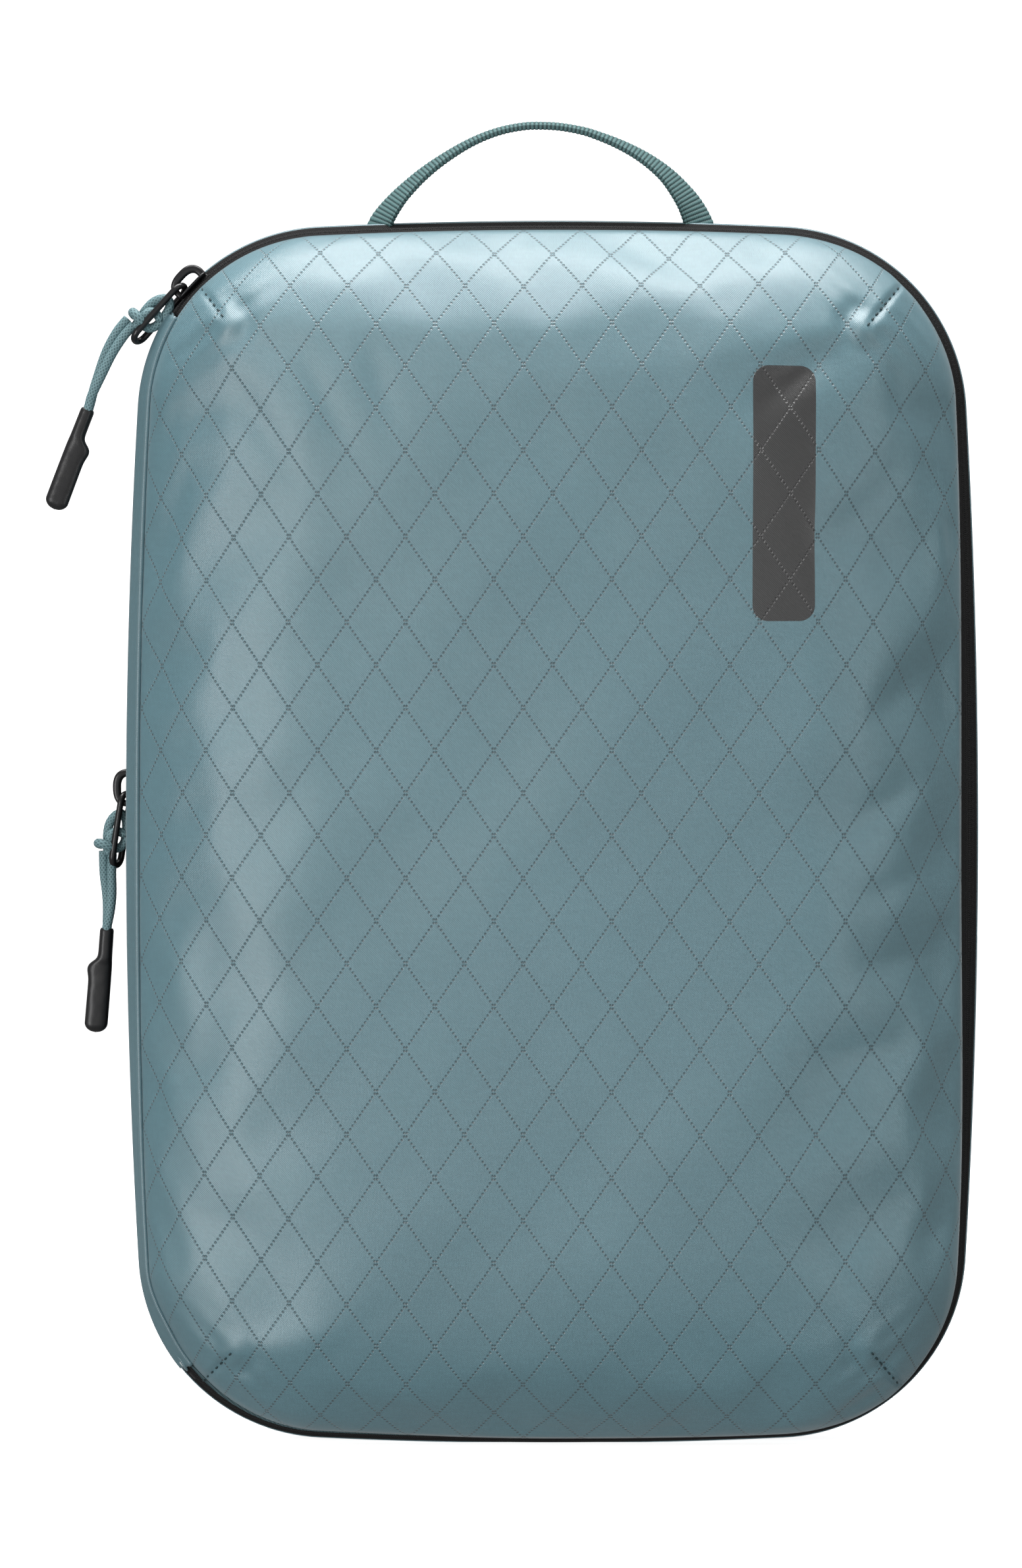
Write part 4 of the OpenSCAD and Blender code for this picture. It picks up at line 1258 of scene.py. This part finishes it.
# %% Zipper finishes
KNIT_PITCH = 0.62 * MM
tape_finish = Finish("zipper_tape", (0.016, 0.016, 0.017), 0.7, Specular_IOR_Level=0.25)
u, v, _ = tape_finish.place("UV")
chevron = tape_finish.maths("PINGPONG", u, 1.0 * MM)
weave = tape_finish.stripes(tape_finish.plus(v, chevron), KNIT_PITCH)
cross = tape_finish.stripes(u, 0.7 * MM)
knit_height_and_painted_light = tape_finish.plus(tape_finish.times(weave, 0.3), tape_finish.times(cross, 0.2),
                        tape_finish.noise(0.3 * MM, 2, "UV"))
# Painted highlight and shade: the tape's colour follows the knit's pattern and height, lighter on
# the raised yarns and near black in the grooves.
tape_finish.colour(tape_finish.mix(tape_finish.ramp(knit_height_and_painted_light, 0.2, 1.0),
                                   (0.002, 0.002, 0.002, 1), (0.024, 0.024, 0.0245, 1)))
tape_finish.bump(knit_height_and_painted_light, 0.18 * MM)

coil_finish = Finish("zipper_coil", (0.018, 0.018, 0.019), 0.6, Specular_IOR_Level=0.25)
u, v, _ = coil_finish.place("UV")
knit = coil_finish.stripes(coil_finish.plus(v, u), KNIT_PITCH)
knit_height_and_painted_light = coil_finish.plus(coil_finish.times(knit, 0.35), coil_finish.noise(0.28 * MM, 2, "UV"))
# Painted highlight and shade: the ridge's colour follows the knit's height, lighter on the raised
# yarns and near black in the grooves.
coil_finish.colour(coil_finish.mix(coil_finish.ramp(knit_height_and_painted_light, 0.2, 1.0),
                                   (0.002, 0.002, 0.002, 1), (0.030, 0.030, 0.031, 1)))
coil_finish.bump(knit_height_and_painted_light, 0.16 * MM)

# %% Tapes and coils
ZIP_FIRST, ZIP_LAST = 11, 92
TOOTH_PITCH = 1.25 * MM
COIL_HALF_T = 1.0 * MM
COIL_W = 1.4 * MM
COIL_GAP = 1.0 * MM


def tape(name, y_coil, y_seam, body, node, first, last, closed, lid_side=False):
    """Woven tape: level beside the coil, then out to the seam it is sewn to."""
    s = math.copysign(1, y_seam - y_coil)
    if lid_side:
        path = [(3.0 * MM, y_coil, 0), (3.0 * MM, y_coil + s * 1.2 * MM, 0),
                (2.95 * MM, y_seam - s * 2.0 * MM, 0.03), (1.6 * MM, y_seam - s * 1.0 * MM, 0.55),
                (0.1 * MM, y_seam - s * 0.1 * MM, 1.0)]
    else:
        path = [(3.0 * MM, y_coil, 0), (3.0 * MM, y_coil + s * 1.2 * MM, 0),
                (2.4 * MM, y_seam - s * 1.7 * MM, 0), (1.2 * MM, y_seam - s * 0.7 * MM, 0),
                (0.6 * MM, y_seam - s * 0.05 * MM, 0)]
    section = ribbon(smooth_path(path, 11)[0], 0.6 * MM)
    piece = carried(name, section, first, last, 460, closed)
    return dress(piece, tape_finish, body, [node])


def coil(name, y_low, body, node, first, last, closed):
    """Woven ridge over one half of the coil: a rounded bar with a rib for every tooth."""
    corners = [(COIL_INSET - COIL_HALF_T, y_low), (COIL_INSET + COIL_HALF_T, y_low),
               (COIL_INSET + COIL_HALF_T, y_low + COIL_W),
               (COIL_INSET - COIL_HALF_T, y_low + COIL_W)]
    section = rounded([(a, b, 0) for a, b in corners], 1)
    _, length = even_steps(first, last, [1.0])
    teeth = int(length / TOOTH_PITCH)
    step_length = length / teeth

    def ribs(run, _):
        return 0.13 * MM * (np.abs(np.cos(np.pi * run / step_length)) ** 0.7 - 0.6)

    piece = carried(name, section, first, last, teeth * 6, closed, ribs)
    return dress(piece, coil_finish, body, [node])


half = COIL_GAP / 2
edge = half + COIL_W + 0.05 * MM
ZIP_RUNS = {"main": (MAIN_ZIP_Y, ZIP_FIRST, ZIP_LAST, False),
            "comp": (COMP_ZIP_Y, 0, ALL_STEPS, True)}
# Each side: its zipper, its name here and in the CAD model, the way it lies from the coil's
# middle, the seam it is sewn to, and its body
ZIP_SIDES = [("main", "lid", "lid", -1, SEAM_Y, "lid"),
             ("main", "band", "body", 1, BAND_Y, "front_shell"),
             ("comp", "front", "front", -1, COMP_FRONT_Y, "front_shell"),
             ("comp", "rear", "rear", 1, COMP_REAR_Y, "rear_shell")]
for zipper, side, node, sign, seam, body in ZIP_SIDES:
    y, *run = ZIP_RUNS[zipper]
    tape(f"{zipper}_tape_on_{side}", y + sign * edge, seam, body, f"{zipper}_tape_{node}",
         *run, lid_side=side == "lid")
for zipper, side, node, sign, _, body in ZIP_SIDES:
    y, *run = ZIP_RUNS[zipper]
    low = y + half if sign > 0 else y - half - COIL_W
    coil(f"{zipper}_ridge_on_{side}", low, body, f"{zipper}_coil_{node}", *run)
print("four tapes and four ridges")

# %% [markdown]
# ## Spine, seam roll and gusset
# Two pieces here cross a joint. The spine is the cloth hinge at the left: one edge follows the
# front shell and the other the lid. The gusset is a pleat folded inwards between the two
# shells, and it opens like a bellows. Both are made at rest.
# The roll is cloth turned under along the spine's seam, and it rides on the lid.

# %% Spine
SPINE_FIRST, SPINE_LAST = ZIP_LAST + 0.1, ALL_STEPS + ZIP_FIRST - 0.1
spine_path = [(0.35 * MM, BAND_Y, 0), (0.15 * MM, -2.2 * MM, 0), (0.25 * MM, -5 * MM, 0),
              (0.7 * MM, -7.6 * MM, 0.08), (0.2 * MM, -9.8 * MM, 0.5),
              (-0.45 * MM, SEAM_Y + 0.1 * MM, 1)]
spine = carried("spine_sewn", ribbon(smooth_path(spine_path, 20)[0], 0.8 * MM),
                SPINE_FIRST, SPINE_LAST, 260, False)
dress(spine, shell_finish, None, ["spine_panel"])
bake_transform(spine)

# %% Seam roll
turns = np.linspace(0, 2 * np.pi, 12, endpoint=False)
roll_section = np.stack([-0.35 * MM + 0.8 * MM * np.cos(turns),
                         SEAM_Y - 0.5 * MM - 0.85 * MM * np.sin(turns), np.ones(12)], 1)
seam_roll = carried("lid_seam_roll_sewn", roll_section, SPINE_FIRST, SPINE_LAST, 300, False)
dress(seam_roll, shell_finish, "lid", ["lid_seam_roll"])

# %% Gusset
gusset_front = [(1.35 * MM, COMP_FRONT_Y - 1.6 * MM, 0), (1.7 * MM, COMP_FRONT_Y - 0.4 * MM, 0),
                (3.6 * MM, COMP_FRONT_Y + 0.9 * MM, 0), (9 * MM, COMP_ZIP_Y - 3.6 * MM, 0),
                (15 * MM, COMP_ZIP_Y - 2 * MM, 0)]
gusset_rear = [(inset, 2 * COMP_ZIP_Y - y, 0) for inset, y, _ in gusset_front[::-1]]
gusset_path = gusset_front + [(20.4 * MM, COMP_ZIP_Y, 0)] + gusset_rear
gusset = carried("gusset_pleat", ribbon(smooth_path(gusset_path, 40)[0], 0.5 * MM),
                 0, ALL_STEPS, 300, True)
dress(gusset, shell_finish, None, ["expansion_gusset"])
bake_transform(gusset)
print("spine, seam roll and gusset")

# %% [markdown]
# ## The handle
# The handle is a length of ribbed webbing that twists on its way, so it is edge on at the top
# of its arch and turns its face forwards where it is sewn in. Real ribs run across it.

# %% Webbing handle
HANDLE_Y = (BAND_Y + COMP_FRONT_Y) / 2
WEB_W, WEB_T, WEB_RIB = 10 * MM, 1.9 * MM, 1.24 * MM

# The handle's line as x and the height above the cube's middle, from one seam to the other
WEB_ROUTE = [(-51.6, 174.5), (-50.2, 180), (-46, 186.1), (-41.1, 191.2), (-36.6, 195.1),
             (-31.6, 198.7), (-25.9, 202.2), (-20.3, 204.9), (-14.7, 206.8), (-9.1, 207.9),
             (-4.6, 208.2), (2.1, 207.9), (8.9, 206.7), (13.4, 205.3), (19, 203.1),
             (24.6, 200.3), (29.7, 197), (34.2, 193.2), (38.1, 188.6), (40.9, 184.4),
             (43.1, 179.4), (44.2, 174.5)]
web_line, web_at = smooth_path(np.array([(x, 0, z) for x, z in WEB_ROUTE]) * MM
                               + (0, HANDLE_Y, MID_Z), 900)
web_run = web_at[-1]
web_along = unit(np.gradient(web_line, axis=0))
web_flat = np.cross(web_along, (0, 1, 0))
web_s = 2 * web_at / web_run - 1
web_turn = np.where(web_s < 0, 44 * np.abs(web_s) ** 3, 60 * np.abs(web_s) ** 2.6)
twist = np.radians(82 - web_turn)[:, None]
web_wide = np.cos(twist) * web_flat + np.sin(twist) * np.array([0, 1.0, 0])
web_thin = np.cross(web_along, web_wide)
row = np.linspace(0, 2 * np.pi, 44, endpoint=False)
round_x, round_y = squircle(row, 0.35, 0.55)
web_x, web_y = round_x * WEB_W / 2, round_y * WEB_T / 2
rise = np.abs(np.sin(np.pi * web_at / WEB_RIB))[:, None]
ribs = 1 + 0.22 * (rise ** 0.7 - 0.6)
scallop = 1 + 0.035 * (rise - 0.5)
across_web = web_x[None] * scallop
cords_in_web = 1 + 0.10 * np.cos(web_x / (1.0 * MM) * 2 * np.pi)[None]
thin_web = web_y[None] * ribs * cords_in_web
web_points = (web_line[:, None] + across_web[..., None] * web_wide[:, None]
              + thin_web[..., None] * web_thin[:, None])
webbing = surface("handle_webbing_woven", web_points,
                  np.broadcast_to(web_x, across_web.shape),
                  np.broadcast_to(web_at[:, None], across_web.shape), loop_v=True, caps=True)
point_outwards(webbing)

web_finish = Finish("webbing", (0.15, 0.27, 0.27), 0.6)
u, v, _ = web_finish.place("UV")
rib, warp = [web_finish.maths("ABSOLUTE", web_finish.stripes(at, 2 * pitch))
             for at, pitch in ((v, WEB_RIB), (u, 0.72 * MM))]
yarns = web_finish.noise(0.25 * MM, 2, "UV")
# Painted shade and highlight: the webbing's colour is darkest in the gaps between its ribs and
# cords and lighter on their tops; the yarn noise adds real random tone.
tone = web_finish.plus(web_finish.times(rib, 0.55), web_finish.times(warp, 0.25),
                       web_finish.times(yarns, 0.4))
web_finish.colour(web_finish.mix(web_finish.ramp(tone, 0.25, 1.1), (0.008, 0.034, 0.036, 1),
                                 (0.12, 0.235, 0.235, 1)))
web_finish.bump(tone, 0.12 * MM)
dress(webbing, web_finish, None, ["handle_webbing", "handle_anchors"])
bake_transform(webbing)
print("webbing %.0f mm long" % (web_run / MM))

# %% [markdown]
# ## Small sewn things
# A scrap of cloth covers each end of the lid's zipper and is held by a bar of pale thread. The
# darts are closed with short dark stitches. These are the marks that say a thing was sewn, so
# each stitch is a real little capsule of thread.

# %% Thread
dark_thread = Finish("dark_thread", (0.02, 0.045, 0.052), 0.6)
dark_thread.bump(dark_thread.noise(0.2 * MM, 2), 0.05 * MM)
pale_thread = Finish("pale_thread", (0.62, 0.68, 0.68), 0.6)
pale_thread.bump(pale_thread.noise(0.2 * MM, 2), 0.05 * MM)


def stitches(name, middles, ahead, length, thickness):
    """Capsules of thread: each is a small tube whose radius is a half circle at its ends."""
    middles, ahead = np.atleast_2d(middles), unit(np.atleast_2d(ahead))
    side = unit(np.cross(ahead, (0.31, 0.9, 0.17)))
    other = np.cross(ahead, side)
    t = np.linspace(-1, 1, 7)[:, None]
    a = np.linspace(0, 2 * np.pi, 8, endpoint=False)[None, :]
    r = thickness / 2 * np.sqrt(np.clip(1 - np.abs(t) ** 3, 0.02, 1))
    shape = [t + 0 * a, r * np.cos(a), r * np.sin(a)]
    pieces = []
    for m, d, s, o in zip(middles, ahead, side, other):
        grid = (m + shape[0][..., None] * d * length / 2 + shape[1][..., None] * s
                + shape[2][..., None] * o)
        flat = np.zeros(grid.shape[:2])
        pieces.append(surface(name, grid, flat, flat, loop_v=True, caps=True))
    return point_outwards(join(pieces, name))


def on_lid(x, z):
    """Points of the finished lid panel nearest to some places seen from the front."""
    co = np.zeros(len(lid_panel.data.vertices) * 3)
    lid_panel.data.vertices.foreach_get("co", co)
    co = co.reshape(-1, 3)
    gap = np.hypot(co[None, :, 0] - np.asarray(x)[:, None],
                   co[None, :, 2] - np.asarray(z)[:, None])
    nearest = np.argsort(gap, 1)[:, :4]
    weight = 1 / (np.take_along_axis(gap, nearest, 1) + 0.05 * MM)
    y = (co[nearest, 1] * weight).sum(1) / weight.sum(1)
    return np.stack([np.asarray(x), y, np.asarray(z)], 1)


dart_middles, dart_ahead = [], []
for dart in DARTS:
    start, way = dart_line(dart, LID_INSET, LID_SHIFT)
    along = np.arange(0.9 * MM, dart[2], 2.1 * MM)
    places = on_lid(start[0] - along * math.cos(way), start[1] - along * math.sin(way))
    places[:, 1] -= 0.25 * MM
    dart_middles.append(places)
    dart_ahead.append(np.gradient(places, axis=0))
dart_thread = stitches("dart_stitches", np.vstack(dart_middles), np.vstack(dart_ahead),
                       1.5 * MM, 0.6 * MM)
dress(dart_thread, dark_thread, "lid")
print(sum(map(len, dart_middles)), "dart stitches")


# %% End tabs
TAB_ARCH = 0.055 / MM


def end_tab(name, angle, centre):
    """A scrap of cloth bent over the zipper's end: a rounded rectangle, one millimetre
    thick, that is arched across the zipper."""
    place = placer(*corner_frame(angle, centre))
    turn = np.linspace(0, 2 * np.pi, 40, endpoint=False)[None, :]
    ring = np.linspace(0.02, 1, 9)[:, None]
    round_a, round_b = squircle(turn, 0.6, 0.6)
    along = 3.1 * MM * ring * round_a
    across = 3.9 * MM * ring * round_b - 0.3 * MM
    drop = TAB_ARCH * across ** 2 + 0.02 / MM * along ** 2
    ripple = 0.08 * MM * np.sin(along / (0.9 * MM))
    out = 1.75 * MM - drop + ripple
    top = np.stack([out, across, along], -1)
    under = top[::-1] - (0.55 * MM, 0, 0)
    grid = np.concatenate([top, under])
    flat_u = np.concatenate([across, across[::-1]])
    flat_v = np.concatenate([along, along[::-1]])
    tab = surface(name, place(grid), flat_u, flat_v, loop_v=True, caps=True)
    return point_outwards(tab), place


LOWER_CORNER = CORNER * (1, -1)
for name, angle, centre in (("upper", 149.5, CORNER), ("lower", 217.5, LOWER_CORNER)):
    tab, place = end_tab(f"end_tab_{name}_sewn", math.radians(angle), centre)
    dress(tab, shell_finish, "front_shell", [f"zip_end_tab_{name}"])
    bar_y = np.linspace(-3.1, 2.1, 9) * MM
    tack = place(np.stack([1.72 * MM - TAB_ARCH * bar_y ** 2, bar_y, 0 * bar_y + 0.4 * MM], 1))
    slant = place(np.array([(1, 0.25, 1.0)])) - place(np.array([(1, 0, 0.0)]))
    thread_bar = stitches(f"tack_{name}", tack, np.repeat(slant, len(tack), 0),
                          2.0 * MM, 0.5 * MM)
    dress(thread_bar, pale_thread, "front_shell")
print("end tabs tacked down")

# %% [markdown]
# ## Pieces that keep their CAD shape
# The stops and the bindings inside the seams are right as they are. They only need a finish.

# %% CAD nodes with better finishes
binding = Finish("seam_binding", (0.06, 0.11, 0.12), 0.75)
x, y, z = binding.place("Object")
rows = binding.stripes(binding.plus(x, z), 0.9 * MM)
binding.bump(binding.plus(rows, binding.noise(0.5 * MM, 2)), 0.08 * MM)
binding.colour(binding.mix(binding.noise(3 * MM, 2), (0.045, 0.085, 0.095, 1),
                           (0.075, 0.13, 0.145, 1)))
for finish, nodes in ((binding, ("rear_seam_binding", "front_seam_binding")),
                      (hardware, ("comp_end_stop", "comp_start_pin", "main_top_stop",
                                  "main_bottom_stop"))):
    for node in nodes:
        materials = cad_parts[node].data.materials
        materials.clear()
        materials.append(finish.material)
print("bindings and stops finished")
